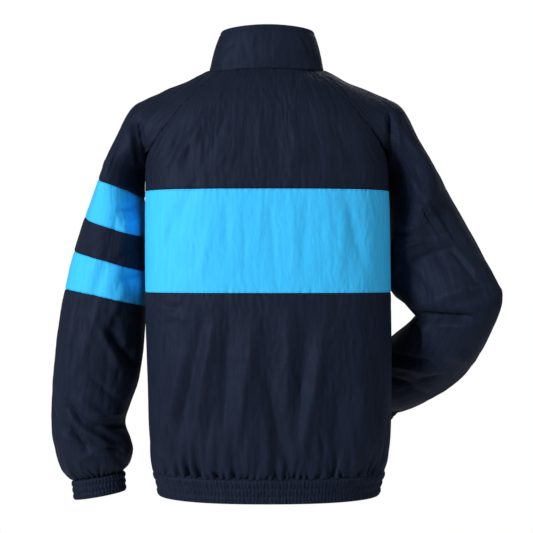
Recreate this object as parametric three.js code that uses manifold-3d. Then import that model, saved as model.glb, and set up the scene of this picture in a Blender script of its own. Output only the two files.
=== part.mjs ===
// A windbreaker jacket in its worn shape, hollow, seen from the back in the photo. Millimetres.
// +X is the wearer's right, +Y the wearer's front, +Z up; the origin is the middle of the neck at
// shoulder height.
import * as THREE from "three";
import Module from "manifold-3d";

const wasm = await Module();
wasm.setup();

const V = (x, y, z) => new THREE.Vector3(x, y, z);
const RAD = Math.PI / 180;

// Cloth and seams
const WALL = 1.2;
const SEAM = 0.4;
const SHARPEST_TURN = 0.5;
const ZIP_HALF = 7;
const FRONT_SQUARE = 2.3;

// Heights of the seams across the body
const ARMPIT_Z = -171;
const BAND_TOP_Z = -207;
const BAND_LOW_Z = -377;
const HEM_SEAM_Z = -683;
const HEM_LOW_Z = -722;

// Heights where the columns of cloth points are evenly spaced, on the body and on the hem
const EVEN_Z = -300;
const EVEN_HEM_Z = -700;

// How far the yoke leans in towards the neck
const NECK_TURN = 72 * RAD;

// The body's rings: half widths to the wearer's left and right, depths to the back and the front,
// and how square the back's corners are
const BODY = [
  { z: -171, left: 206, right: 207.5, back: 132, front: 122, square: 3 },
  { z: -260, left: 206.8, right: 210, back: 136, front: 126, square: 3 },
  { z: -415, left: 205.8, right: 212, back: 138, front: 128, square: 3 },
  { z: -540, left: 202, right: 213.6, back: 138, front: 128, square: 2.9 },
  { z: -620, left: 200, right: 212.4, back: 137, front: 127, square: 2.75 },
  { z: -662, left: 198, right: 208.4, back: 134, front: 124, square: 2.55 },
  { z: -683, left: 194.5, right: 203, back: 130, front: 120, square: 2.45 },
  { z: -702, left: 188.6, right: 197, back: 127, front: 117.5, square: 2.35 },
  { z: -722, left: 185.4, right: 193, back: 126, front: 116.5, square: 2.3 },
];

// The neckline's height round the neck, by the angle from the centre back
const NECKLINE = [
  { angle: 0, z: -3.5 },
  { angle: 30, z: -4 },
  { angle: 57, z: -5 },
  { angle: 75, z: -1.5 },
  { angle: 90, z: 0.5 },
  { angle: 110, z: -12 },
  { angle: 135, z: -40 },
  { angle: 160, z: -65 },
  { angle: 180, z: -72 },
];
const NECK = { half: 98, back: 75, front: 88, square: 2.2 };

// The raglan seams, by the share of the way from armpit (0) to neck (1)
const RAGLAN = [
  { up: 0, back: 90, front: 90 },
  { up: 0.1, back: 77, front: 76 },
  { up: 0.2, back: 69.5, front: 67 },
  { up: 0.3, back: 65, front: 61 },
  { up: 0.4, back: 61.5, front: 57 },
  { up: 0.5, back: 59.3, front: 54 },
  { up: 0.6, back: 57, front: 52 },
  { up: 0.7, back: 54.7, front: 51 },
  { up: 0.8, back: 53.3, front: 52 },
  { up: 0.9, back: 53.1, front: 55 },
  { up: 1, back: 57.3, front: 60 },
];

// The shoulder's top line from the neck out to the arm
const SHOULDER = [
  { up: 0, x: 268.5, y: 4, z: -141 },
  { up: 0.1, x: 253.5, y: 3, z: -106 },
  { up: 0.2, x: 241.5, y: 2, z: -79 },
  { up: 0.3, x: 227, y: 1, z: -59 },
  { up: 0.4, x: 208, y: 0, z: -48.5 },
  { up: 0.5, x: 188, y: 0, z: -39.8 },
  { up: 0.6, x: 168, y: 0, z: -31 },
  { up: 0.7, x: 148, y: 0, z: -22.6 },
  { up: 0.8, x: 129.6, y: 0, z: -15 },
  { up: 0.9, x: 113, y: 0, z: -8 },
  { up: 1, x: 98, y: 0, z: 0.5 },
];

// Rings of the hanging sleeve: outer and inner edge, and how deep the ring is to the back and the front
const SLEEVE_LEFT = [
  { ox: -268.5, oy: 4, oz: -141, ix: -206, iy: 0, iz: -171, back: 77, front: 96 },
  { ox: -287.8, oy: 26, oz: -184, ix: -209.5, iy: 30, iz: -216, back: 96, front: 92 },
  { ox: -314.2, oy: 34, oz: -246.6, ix: -208.5, iy: 38, iz: -281, back: 95, front: 86 },
  { ox: -335, oy: 38, oz: -305.3, ix: -208, iy: 42, iz: -341.6, back: 88, front: 80 },
  { ox: -350.5, oy: 38, oz: -372.7, ix: -208.5, iy: 42, iz: -403.8, back: 82, front: 74 },
  { ox: -361.3, oy: 36, oz: -435.1, ix: -211.5, iy: 38, iz: -457.6, back: 74, front: 70 },
  { ox: -366.4, oy: 34, oz: -487.2, ix: -215.5, iy: 34, iz: -499.4, back: 68, front: 68 },
  { ox: -369, oy: 34, oz: -539.7, ix: -222.4, iy: 34, iz: -536.3, back: 62, front: 66 },
  { ox: -370.8, oy: 38, oz: -583.8, ix: -236, iy: 38, iz: -573.3, back: 58, front: 62 },
  { ox: -372, oy: 42, oz: -626, ix: -245, iy: 42, iz: -605.1, back: 56, front: 58 },
  { ox: -368.5, oy: 44, oz: -652.5, ix: -236.5, iy: 44, iz: -633.2, back: 54, front: 55 },
  { ox: -361.5, oy: 46, oz: -680.7, ix: -232, iy: 46, iz: -654.5, back: 49, front: 50 },
  { ox: -352.5, oy: 46, oz: -696.4, ix: -237.8, iy: 46, iz: -677.2, back: 41, front: 42 },
  { ox: -340.4, oy: 46, oz: -707.2, ix: -247.7, iy: 46, iz: -690.6, back: 33, front: 34 },
];

// Rings of the bent sleeve, whose forearm comes forward and in towards the front of the body
const SLEEVE_RIGHT = [
  { ox: 268.5, oy: 4, oz: -141, ix: 207.5, iy: 0, iz: -171, back: 84, front: 92 },
  { ox: 296.5, oy: 24, oz: -176.6, ix: 212, iy: 34, iz: -224.6, back: 96, front: 86 },
  { ox: 329, oy: 30, oz: -230.4, ix: 213.5, iy: 44, iz: -283.2, back: 94, front: 78 },
  { ox: 354, oy: 6, oz: -279.2, ix: 215, iy: 44, iz: -336.4, back: 86, front: 70 },
  { ox: 371.5, oy: -16, oz: -316.2, ix: 215.5, iy: 34, iz: -375, back: 72, front: 62 },
  { ox: 382, oy: -48, oz: -344.8, ix: 228.5, iy: 16, iz: -391, back: 60, front: 58 },
  { ox: 389.5, oy: -66, oz: -368.6, ix: 244, iy: 10, iz: -403.5, back: 54, front: 57 },
  { ox: 392.5, oy: -70, oz: -387, ix: 258, iy: 14, iz: -413, back: 52, front: 56 },
  { ox: 389.5, oy: -61, oz: -411, ix: 254.5, iy: 21, iz: -420, back: 52, front: 56 },
  { ox: 379, oy: -46, oz: -440, ix: 249.5, iy: 30, iz: -427, back: 54, front: 57 },
  { ox: 368, oy: -27, oz: -467.5, ix: 242.5, iy: 41, iz: -434.5, back: 56, front: 60 },
  { ox: 354.5, oy: -3, oz: -496, ix: 234, iy: 57, iz: -443.5, back: 57, front: 62 },
  { ox: 335, oy: 27, oz: -526, ix: 224, iy: 79, iz: -453.5, back: 56, front: 63 },
  { ox: 309.5, oy: 55, oz: -552, ix: 211.5, iy: 99, iz: -467, back: 54, front: 62 },
  { ox: 283, oy: 80, oz: -572.5, ix: 199, iy: 116, iz: -482, back: 50, front: 58 },
  { ox: 264, oy: 100, oz: -585, ix: 191, iy: 128, iz: -498, back: 45, front: 51 },
  { ox: 249.5, oy: 116, oz: -592.5, ix: 184.5, iy: 136, iz: -516, back: 38, front: 42 },
  { ox: 235.5, oy: 130, oz: -598, ix: 178, iy: 144, iz: -538, back: 31, front: 33 },
];

// Between which rings a sleeve's depth turns from straight back to square with the sleeve
const RING_TURN = { left: [0.8, 2.2], right: [0, 1.5] };

// How far a ring's edges lean out, near the armpit and below it
const RING_TILT = { plain: 0.1, armpit: 0.4, rings: 2 };

// The raglan part: how long its curves' handles are, and between which heights it rounds and flattens
const RAGLAN_CURVE = { handle: 0.55, least: 40, step: 0.02, roundFrom: 0.45, plainFrom: 0.6 };

// Where a ring of cloth points goes on each sleeve, counted along its rings, and the piece below it
const LEFT_STEPS = [
  0, 0.5, 1, 1.33, 1.67, 2, 2.5, 3, 3.33, 3.67, 4, 4.5, 5, 5.5, 6, 6.6, 7.3, 8, 9, 10, 11, 12, 13,
];
const LEFT_PIECES = ["top", "stripe_upper", "middle", "stripe_lower", "lower"];
const leftPiece = (at) => "sleeve_left_" + LEFT_PIECES[Math.min(Math.floor(at), LEFT_PIECES.length - 1)];
const LEFT_ROWS = LEFT_STEPS.map((at) => ({ at, piece: leftPiece(at) }));
const RIGHT_STEPS = [0, 0.5, 1, 1.5, 2, 2.5, 3, 4, 5, 6, 7, 8, 9, 10, 11, 12, 13, 14, 15, 16, 17];
const RIGHT_PARTS = { top: 2, elbow: 8 };

function rightPiece(at) {
  if (at < RIGHT_PARTS.top) return "sleeve_right_top";
  return at < RIGHT_PARTS.elbow ? "sleeve_right_upper" : "sleeve_right_forearm";
}

const RIGHT_ROWS = RIGHT_STEPS.map((at) => ({ at, piece: rightPiece(at) }));

// Folds on the back: a line from (x1, z1) to (x2, z2), its height (below 0 for a trough) and its half width
const BACK_FOLDS = [
  { x1: -103, z1: -421, x2: -117, z2: -493, h: -5, w: 14 },
  { x1: -117, z1: -493, x2: -163, z2: -669, h: -5, w: 13 },
  { x1: -138, z1: -485, x2: -168, z2: -614, h: 5, w: 15 },
  { x1: -60, z1: -413, x2: -71, z2: -587, h: -5, w: 13 },
  { x1: -90, z1: -439, x2: -117, z2: -601, h: 5, w: 14 },
  { x1: -20, z1: -426, x2: -50, z2: -628, h: 6, w: 16 },
  { x1: -1, z1: -501, x2: 26, z2: -655, h: -5, w: 13 },
  { x1: 36, z1: -398, x2: 34, z2: -561, h: 5, w: 15 },
  { x1: 64, z1: -453, x2: 50, z2: -614, h: -5, w: 14 },
  { x1: 93, z1: -426, x2: 61, z2: -642, h: 6, w: 16 },
  { x1: 120, z1: -540, x2: 108, z2: -660, h: -5, w: 15 },
  { x1: 150, z1: -500, x2: 169, z2: -642, h: 5, w: 15 },
  { x1: 180, z1: -479, x2: 185, z2: -616, h: -4, w: 12 },
  { x1: -94, z1: -92, x2: -152, z2: -162, h: 4, w: 12 },
  { x1: -136, z1: -92, x2: -164, z2: -169, h: -5, w: 11 },
  { x1: -120, z1: -201, x2: -165, z2: -307, h: -4, w: 13 },
  { x1: 112, z1: -98, x2: 150, z2: -178, h: -4, w: 12 },
  { x1: 128, z1: -205, x2: 158, z2: -330, h: -4, w: 14 },
  { x1: -222, z1: -98, x2: -208, z2: -200, h: -9, w: 10 },
  { x1: 228, z1: -72, x2: 216, z2: -105, h: -8, w: 10 },
  { x1: 216, z1: -105, x2: 214, z2: -190, h: -9, w: 10 },
  { x1: -262, z1: -170, x2: -318, z2: -300, h: 4, w: 16 },
  { x1: -250, z1: -250, x2: -300, z2: -420, h: -4, w: 15 },
  { x1: -330, z1: -420, x2: -345, z2: -560, h: 4, w: 15 },
  { x1: -352, z1: -600, x2: -300, z2: -655, h: -6, w: 12 },
  { x1: -330, z1: -580, x2: -268, z2: -612, h: 4, w: 13 },
  { x1: -308, z1: -634, x2: -236, z2: -640, h: -5, w: 9 },
  { x1: 268, z1: -420, x2: 350, z2: -422, h: -8, w: 10 },
  { x1: 262, z1: -395, x2: 340, z2: -372, h: 5, w: 13 },
  { x1: 300, z1: -200, x2: 352, z2: -330, h: 4, w: 15 },
  { x1: 250, z1: -215, x2: 300, z2: -345, h: -4, w: 15 },
  { x1: 290, z1: -470, x2: 356, z2: -500, h: 4, w: 14 },
];

// Folds on the front, which the photo doesn't show: softer ones of the same kind
const FRONT_FOLDS = [
  { x1: -120, z1: -110, x2: -165, z2: -190, h: -4, w: 13 },
  { x1: 118, z1: -105, x2: 160, z2: -200, h: -4, w: 13 },
  { x1: -70, z1: -250, x2: -95, z2: -430, h: 4, w: 17 },
  { x1: 62, z1: -240, x2: 96, z2: -400, h: 4, w: 17 },
  { x1: -130, z1: -380, x2: -150, z2: -640, h: -5, w: 15 },
  { x1: -80, z1: -480, x2: -92, z2: -650, h: 5, w: 16 },
  { x1: -45, z1: -520, x2: -40, z2: -660, h: -4, w: 13 },
  { x1: 50, z1: -500, x2: 42, z2: -655, h: -4, w: 13 },
  { x1: 92, z1: -460, x2: 84, z2: -640, h: 5, w: 16 },
  { x1: 128, z1: -400, x2: 150, z2: -650, h: -5, w: 15 },
  { x1: -268, z1: -190, x2: -322, z2: -340, h: 4, w: 16 },
  { x1: -252, z1: -300, x2: -300, z2: -470, h: -4, w: 15 },
  { x1: -350, z1: -590, x2: -280, z2: -640, h: -5, w: 12 },
  { x1: 270, z1: -418, x2: 345, z2: -440, h: -6, w: 11 },
  { x1: 262, z1: -370, x2: 320, z2: -350, h: 4, w: 13 },
];

// Folds fade in as the cloth turns to face back or front, and fade out at the zip and the neck
const FACING = { from: 0.15, to: 0.75 };
const ZIP_CALM = { from: 14, to: 40 };
const NECK_CALM = 0.75;

// Gathers of the cloth into the elastic hem and cuffs, which fade out at the zip
const HEM_GATHER = { height: 2.2, reach: 34 };
const CUFF_GATHER = { height: 1.8, reach: 20 };
const GATHER_CALM = { from: 8, to: 30 };

// Elastic hem and cuffs: ribs round, three stitched channels down
const HEM_RIBS = 72;
const CUFF_RIBS = 28;
const CHANNELS = 3;
const LANES = CHANNELS * 2;
const RIBS_PER_INNER = 4;
const RIB_HIGH = 1.5;
const CHANNEL_HIGH = 1.4;
const STITCHED_RIB = 0.45;
const RIM_RIB = 0.35;
const HEM = { thick: 2.6, inset: 0.6, gap: 0.5, plainRibs: 3 };
const CUFF = { thick: 2.4, long: 33, inset: 0.8, gap: 0.6, taper: 1.2 };

// Columns of cloth points
const BACK_COLUMNS = 26;
const FRONT_COLUMNS = 10;
const SLEEVE_COLUMNS = 20;
const RAGLAN_ROWS = 9;

// A smooth value between the rows of a table, by one of its columns
function between(table, by, at, column) {
  const n = table.length;
  let i = 0;
  while (i < n - 2 && at > table[i + 1][by]) i += 1;
  const slope = (k) => {
    const a = table[Math.max(k - 1, 0)];
    const b = table[Math.min(k + 1, n - 1)];
    return (b[column] - a[column]) / (b[by] - a[by]);
  };
  const p = table[i];
  const q = table[i + 1];
  const span = q[by] - p[by];
  const t = Math.min(Math.max((at - p[by]) / span, 0), 1);
  const t2 = t * t;
  const t3 = t2 * t;
  return (2 * t3 - 3 * t2 + 1) * p[column] + (t3 - 2 * t2 + t) * span * slope(i) +
    (3 * t2 - 2 * t3) * q[column] + (t3 - t2) * span * slope(i + 1);
}

const BODY_DOWN = BODY.map((row) => ({ ...row, down: -row.z }));
const bodySize = (z, column) => between(BODY_DOWN, "down", -z, column);
const ringRow = (table) => table.map((row, ring) => ({ ...row, ring }));
const LEFT_RINGS = ringRow(SLEEVE_LEFT);
const RIGHT_RINGS = ringRow(SLEEVE_RIGHT);

const smooth = (a, b, x) => {
  const t = Math.min(Math.max((x - a) / (b - a), 0), 1);
  return t * t * (3 - 2 * t);
};

// Distance from the middle of an oval ring, at an angle from the centre back
function oval(angle, half, depth, power) {
  const s = Math.abs(Math.sin(angle)) / half;
  const c = Math.abs(Math.cos(angle)) / depth;
  return (s ** power + c ** power) ** (-1 / power);
}

function bodyRadius(angle, z) {
  const half = bodySize(z, Math.sin(angle) < 0 ? "left" : "right");
  const back = Math.cos(angle) > 0;
  const power = back ? bodySize(z, "square") : FRONT_SQUARE;
  return oval(angle, half, bodySize(z, back ? "back" : "front"), power);
}

function bodyPoint(angle, z) {
  const r = bodyRadius(angle, z);
  return V(r * Math.sin(angle), -r * Math.cos(angle), z);
}

const neckHeight = (angle) => between(NECKLINE, "angle", Math.abs(angle) / RAD, "z");

function neckRadius(angle) {
  const back = Math.cos(angle) > 0;
  return oval(angle, NECK.half, back ? NECK.back : NECK.front, NECK.square);
}

// A point of the body above the armpits: up is 0 at the armpits and 1 at the neck
function yokePoint(angle, up) {
  const rise = Math.sin(up * NECK_TURN) / Math.sin(NECK_TURN);
  const lean = (1 - Math.cos(up * NECK_TURN)) / (1 - Math.cos(NECK_TURN));
  const r0 = bodyRadius(angle, ARMPIT_Z);
  const r = r0 + (neckRadius(angle) - r0) * lean;
  const z = ARMPIT_Z + (neckHeight(angle) - ARMPIT_Z) * rise;
  return V(r * Math.sin(angle), -r * Math.cos(angle), z);
}

const raglanBack = (up) => between(RAGLAN, "up", up, "back") * RAD;
const raglanFront = (up) => Math.PI - between(RAGLAN, "up", up, "front") * RAD;

function shoulderPoint(up, side) {
  const x = between(SHOULDER, "up", up, "x");
  return V(side * x, between(SHOULDER, "up", up, "y"), between(SHOULDER, "up", up, "z"));
}

// One ring of a sleeve: its edges, depths and the way to its back
function sleeveRing(rings, at) {
  const value = (column, where) => between(rings, "ring", where, column);
  const edge = (side, where) => V(...["x", "y", "z"].map((axis) => value(side + axis, where)));
  const middle = (where) => edge("o", where).add(edge("i", where)).multiplyScalar(0.5);
  const before = Math.max(at - 0.5, 0);
  const after = Math.min(at + 0.5, rings.length - 1);
  const axis = middle(after).sub(middle(before)).normalize();
  const outer = edge("o", at);
  const inner = edge("i", at);
  const back = axis.clone().cross(outer.clone().sub(inner)).normalize();
  if (back.y > 0) back.negate();
  const [turnFrom, turnTo] = rings === LEFT_RINGS ? RING_TURN.left : RING_TURN.right;
  back.lerp(V(0, -1, 0), 1 - smooth(turnFrom, turnTo, at)).normalize();
  const tilt = RING_TILT.plain + RING_TILT.armpit * (1 - smooth(0, RING_TILT.rings, at));
  return { outer, inner, axis, back, tilt, deepBack: value("back", at), deepFront: value("front", at) };
}

function curve(a, b, c, d, t) {
  const u = 1 - t;
  return a.clone().multiplyScalar(u * u * u).addScaledVector(b, 3 * u * u * t)
    .addScaledVector(c, 3 * u * t * t).addScaledVector(d, t * t * t);
}

// How long the handles of a half round curve are for its depth
const HALF_ROUND = 4 / 3;

const acrossRing = (ring) => ring.outer.clone().sub(ring.inner).normalize();

// Round a closed sleeve ring: share 0 is the inner edge, 0.5 the outer edge, the back comes first
function ringPoint(ring, share) {
  const back = share < 0.5;
  const t = back ? share * 2 : share * 2 - 1;
  const reach = HALF_ROUND * (back ? ring.deepBack : -ring.deepFront);
  const from = back ? ring.inner : ring.outer;
  const to = back ? ring.outer : ring.inner;
  const across = acrossRing(ring).multiplyScalar(ring.tilt * Math.abs(reach));
  const b = from.clone().addScaledVector(ring.back, reach);
  const c = to.clone().addScaledVector(ring.back, reach);
  (back ? b : c).add(across);
  return curve(from, b, c, to, t);
}

// Round a raglan row: share 0 is the back seam, 0.5 the shoulder line, 1 the front seam
function raglanPoint(side, rings, up, share) {
  const ring = sleeveRing(rings, 0);
  const back = share < 0.5;
  const t = back ? share * 2 : 2 - share * 2;
  const seam = back ? raglanBack(up) : raglanFront(up);
  const start = yokePoint(side * seam, up);
  const top = shoulderPoint(up, side);
  const step = back ? RAGLAN_CURVE.step : -RAGLAN_CURVE.step;
  const tangent = yokePoint(side * (seam + step), up).sub(start).normalize();
  const way = ring.back.clone().multiplyScalar(back ? 1 : -1);
  const deep = back ? ring.deepBack : ring.deepFront;
  const rest = Math.max(deep - Math.abs(start.y - ring.inner.y), 0);
  const round = smooth(RAGLAN_CURVE.roundFrom, 1, 1 - up);
  const lean = ring.tilt * Math.max(rest, RAGLAN_CURVE.least);
  const inward = way.clone().multiplyScalar(HALF_ROUND * rest).addScaledVector(acrossRing(ring), lean);
  const first = tangent.multiplyScalar(RAGLAN_CURVE.handle * Math.abs(top.x - start.x)).lerp(inward, round);
  const second = V(0, back ? -1 : 1, 0)
    .multiplyScalar(RAGLAN_CURVE.handle * Math.abs(top.y - start.y))
    .lerp(way.clone().multiplyScalar(HALF_ROUND * deep), round);
  const arc = curve(start, start.clone().add(first), top.clone().add(second), top, t);
  const plain = yokePoint(side * (seam + (Math.PI / 2 - seam) * t), up);
  return arc.lerp(plain, smooth(RAGLAN_CURVE.plainFrom, 1, up));
}

// How far a line of folds lifts the cloth at a place
function foldHeight(folds, x, z) {
  let lift = 0;
  for (const f of folds) {
    const dx = f.x2 - f.x1;
    const dz = f.z2 - f.z1;
    const t = Math.min(Math.max(((x - f.x1) * dx + (z - f.z1) * dz) / (dx * dx + dz * dz), 0), 1);
    const away = Math.hypot(x - f.x1 - t * dx, z - f.z1 - t * dz) / f.w;
    lift += f.h * Math.exp(-away * away);
  }
  return lift;
}

// The shared pool of cloth points, so that pieces that meet share their seam
const pool = [];
const cells = [];

function addPoint(position, loose, gather = 0) {
  pool.push({ position, loose, gather, normal: V(0, 0, 0) });
  return pool.length - 1;
}

const addCell = (piece, a, b, c, d) => cells.push({ piece, ids: [a, b, c, d] });

function cellNormal(ids) {
  const [a, b, c, d] = ids.map((id) => pool[id].position);
  return c.clone().sub(a).cross(d.clone().sub(b));
}

function findNormals() {
  pool.forEach((p) => p.normal.set(0, 0, 0));
  cells.forEach((cell) => {
    const n = cellNormal(cell.ids);
    cell.ids.forEach((id) => pool[id].normal.add(n));
  });
  pool.forEach((p) => p.normal.normalize());
  armpits.forEach((id) => pool[id].normal.set(0, 0, -1));
}

// Rows of the body below the armpits, and the piece of the back below each
const BODY_STEPS = [
  ARMPIT_Z, -189, BAND_TOP_Z, -235, -263, -292, -320, -349, BAND_LOW_Z, -404, -431, -458, -485, -512,
  -539, -566, -593, -619, -643, -661, -674, HEM_SEAM_Z,
];

function backPiece(z) {
  if (z > BAND_TOP_Z) return "back_yoke";
  return z > BAND_LOW_Z ? "back_band" : "back_lower";
}

const BODY_ROWS = BODY_STEPS.map((z) => ({ z, back: backPiece(z) }));

const EVEN_STEPS = 400;

// Column positions, as shares of the way from one angle to another, evenly spaced round the body
function evenShares(count, from, to, z) {
  const length = [0];
  for (let i = 1; i <= EVEN_STEPS; i += 1) {
    const a = bodyPoint(from + ((to - from) * (i - 1)) / EVEN_STEPS, z);
    const b = bodyPoint(from + ((to - from) * i) / EVEN_STEPS, z);
    length.push(length[i - 1] + a.distanceTo(b));
  }
  const shares = [];
  let i = 0;
  for (let k = 0; k <= count; k += 1) {
    const want = (length[EVEN_STEPS] * k) / count;
    while (i < EVEN_STEPS && length[i + 1] < want) i += 1;
    const rest = i < EVEN_STEPS ? (want - length[i]) / (length[i + 1] - length[i]) : 0;
    shares.push(Math.min((i + rest) / EVEN_STEPS, 1));
  }
  return shares;
}

const zipAngle = (radius) => Math.PI - Math.asin(ZIP_HALF / radius);

// The front's last column runs along the zip
function frontAngle(share, start, radius) {
  return start + (zipAngle(radius) - start) * share;
}

const evenZip = zipAngle(bodySize(EVEN_Z, "front"));
const backShares = evenShares(BACK_COLUMNS, -Math.PI / 2, Math.PI / 2, EVEN_Z);
const frontShares = evenShares(FRONT_COLUMNS, Math.PI / 2, evenZip, EVEN_Z);
const armpits = [];

const BODY_COLUMNS = 2 * FRONT_COLUMNS + BACK_COLUMNS;

// Ids of a body row, from the wearer's left zip edge round the back to the right zip edge
function bodyRow(z) {
  const gather = gatherAt(z - HEM_SEAM_Z, HEM_GATHER);
  const radius = bodySize(z, "front");
  const front = (k) => frontAngle(frontShares[k], Math.PI / 2, radius);
  const row = [];
  for (let k = 0; k <= BODY_COLUMNS; k += 1) {
    const onBack = k - FRONT_COLUMNS;
    let angle = (backShares[Math.min(Math.max(onBack, 0), BACK_COLUMNS)] * 2 - 1) * (Math.PI / 2);
    if (onBack < 0) angle = -front(-onBack);
    if (onBack > BACK_COLUMNS) angle = front(onBack - BACK_COLUMNS);
    row.push(addPoint(bodyPoint(angle, z), 1, k % 2 === 0 ? gather : -gather));
  }
  return row;
}

function gatherAt(distance, kind) {
  return kind.height * Math.exp(-((distance / kind.reach) ** 2));
}

const lowerRows = BODY_ROWS.map((row) => bodyRow(row.z));
const neckFade = (up) => 1 - smooth(NECK_CALM, 1, up);

// A raglan row has its own front seam points; the front columns start at the front seam
function yokeRow(up) {
  const radius = yokePoint(Math.PI, up).y;
  const loose = neckFade(up);
  const back = [];
  const front = { left: [], right: [] };
  for (let k = 0; k <= BACK_COLUMNS; k += 1) {
    back.push(addPoint(yokePoint((backShares[k] * 2 - 1) * raglanBack(up), up), loose));
  }
  for (let k = 0; k <= FRONT_COLUMNS; k += 1) {
    const angle = frontAngle(frontShares[k], raglanFront(up), radius);
    front.right.push(addPoint(yokePoint(angle, up), loose));
    front.left.push(addPoint(yokePoint(-angle, up), loose));
  }
  return { back, front, up };
}

const leftArmpit = lowerRows[0][FRONT_COLUMNS];
const rightArmpit = lowerRows[0][FRONT_COLUMNS + BACK_COLUMNS];
armpits.push(leftArmpit, rightArmpit);
const firstYoke = {
  back: lowerRows[0].slice(FRONT_COLUMNS, FRONT_COLUMNS + BACK_COLUMNS + 1),
  front: {
    left: lowerRows[0].slice(0, FRONT_COLUMNS + 1).reverse(),
    right: lowerRows[0].slice(FRONT_COLUMNS + BACK_COLUMNS),
  },
  up: 0,
};
const yokeRows = [firstYoke];
for (let k = 1; k <= RAGLAN_ROWS; k += 1) yokeRows.push(yokeRow(k / RAGLAN_ROWS));

// The body's cells; seen from outside each goes round anticlockwise
for (let r = 0; r + 1 < lowerRows.length; r += 1) {
  for (let k = 0; k < BODY_COLUMNS; k += 1) {
    let piece = BODY_ROWS[r].back;
    if (k < FRONT_COLUMNS) piece = "front_left";
    if (k >= FRONT_COLUMNS + BACK_COLUMNS) piece = "front_right";
    const top = lowerRows[r];
    const low = lowerRows[r + 1];
    addCell(piece, low[k], low[k + 1], top[k + 1], top[k]);
  }
}
for (let r = 0; r < RAGLAN_ROWS; r += 1) {
  const low = yokeRows[r];
  const top = yokeRows[r + 1];
  for (let k = 0; k < BACK_COLUMNS; k += 1) {
    addCell("back_yoke", low.back[k], low.back[k + 1], top.back[k + 1], top.back[k]);
  }
  for (let k = 0; k < FRONT_COLUMNS; k += 1) {
    const a = low.front.right;
    const b = top.front.right;
    addCell("front_right", a[k], a[k + 1], b[k + 1], b[k]);
    const c = low.front.left;
    const d = top.front.left;
    addCell("front_left", c[k + 1], c[k], d[k], d[k + 1]);
  }
}

// One row of a sleeve's cells between two rows of points
function sleeveCells(side, piece, low, top) {
  for (let k = 0; k < SLEEVE_COLUMNS; k += 1) {
    if (side < 0) addCell(piece, low[k + 1], low[k], top[k], top[k + 1]);
    else addCell(piece, low[k], low[k + 1], top[k + 1], top[k]);
  }
}

// A sleeve row above the armpit, between the body's back and front edges
function raglanRow(side, rings, row) {
  const name = side < 0 ? "left" : "right";
  const ids = [side < 0 ? row.back[0] : row.back[BACK_COLUMNS]];
  for (let k = 1; k < SLEEVE_COLUMNS; k += 1) {
    ids.push(addPoint(raglanPoint(side, rings, row.up, k / SLEEVE_COLUMNS), neckFade(row.up)));
  }
  return [...ids, row.front[name][0]];
}

// A closed sleeve row below the armpit; the first one starts and ends at the armpit
function ringRowIds(rings, at, first) {
  const ring = sleeveRing(rings, at);
  const near = sleeveRing(rings, rings.length - 1).outer.distanceTo(ring.outer);
  const gather = gatherAt(near, CUFF_GATHER);
  const ids = [];
  for (let k = 0; k < SLEEVE_COLUMNS; k += 1) {
    const wave = k % 2 === 0 ? gather : -gather;
    if (k === 0 && first !== null) ids.push(first);
    else ids.push(addPoint(ringPoint(ring, k / SLEEVE_COLUMNS), 1, wave));
  }
  return [...ids, ids[0]];
}

// A sleeve's cells, from the neck down to the cuff seam
function addSleeve(side, rings, rows, armpit) {
  let above = raglanRow(side, rings, yokeRows[RAGLAN_ROWS]);
  for (let r = RAGLAN_ROWS - 1; r >= 1; r -= 1) {
    const row = raglanRow(side, rings, yokeRows[r]);
    sleeveCells(side, rows[0].piece, row, above);
    above = row;
  }
  rows.forEach((place, r) => {
    const row = ringRowIds(rings, place.at, r === 0 ? armpit : null);
    sleeveCells(side, rows[Math.max(r - 1, 0)].piece, row, above);
    above = row;
  });
}

addSleeve(-1, LEFT_RINGS, LEFT_ROWS, leftArmpit);
addSleeve(1, RIGHT_RINGS, RIGHT_ROWS, rightArmpit);

// Folds and gathers push the cloth out or in; they fade at the neck, the zip and the side edges
function shapeCloth() {
  findNormals();
  const moves = pool.map((p) => {
    const { x, y, z } = p.position;
    const back = smooth(FACING.from, FACING.to, -p.normal.y);
    const besideZip = smooth(ZIP_CALM.from, ZIP_CALM.to, Math.abs(x));
    const front = smooth(FACING.from, FACING.to, p.normal.y) * besideZip;
    const lift = foldHeight(BACK_FOLDS, x, z) * back + foldHeight(FRONT_FOLDS, x, z) * front;
    const zipFade = y > 0 ? smooth(GATHER_CALM.from, GATHER_CALM.to, Math.abs(x)) : 1;
    return p.normal.clone().multiplyScalar(lift * p.loose + p.gather * zipFade);
  });
  pool.forEach((p, i) => p.position.add(moves[i]));
  findNormals();
}
shapeCloth();

// The outward direction at each of a piece's points, and its open edges
function pieceEdges(own) {
  const facing = new Map();
  const edges = new Map();
  own.forEach((cell) => {
    const n = cellNormal(cell.ids).normalize();
    cell.ids.forEach((id, k) => {
      facing.set(id, (facing.get(id) || V(0, 0, 0)).add(n));
      const next = cell.ids[(k + 1) % 4];
      const back = next + ":" + id;
      if (edges.has(back)) edges.delete(back);
      else edges.set(id + ":" + next, [id, next]);
    });
  });
  return { facing, edges };
}

// For each point on an open edge, the ways in from its edges
function waysInward(facing, edges) {
  const inward = new Map();
  edges.forEach(([a, b]) => {
    const along = pool[b].position.clone().sub(pool[a].position).normalize();
    [a, b].forEach((id) => {
      const side = facing.get(id).clone().normalize().cross(along).normalize();
      inward.set(id, [...(inward.get(id) || []), side]);
    });
  });
  return inward;
}

// Where a piece's point goes so that its edge stands back by half the seam
function seamPlace(id, inward) {
  const p = pool[id].position.clone();
  const sides = inward.get(id) || [];
  if (sides.length < 2) return p;
  const turn = Math.max(1 + sides[0].dot(sides[1]), SHARPEST_TURN);
  return p.addScaledVector(sides[0].clone().add(sides[1]), SEAM / 2 / turn);
}

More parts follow.
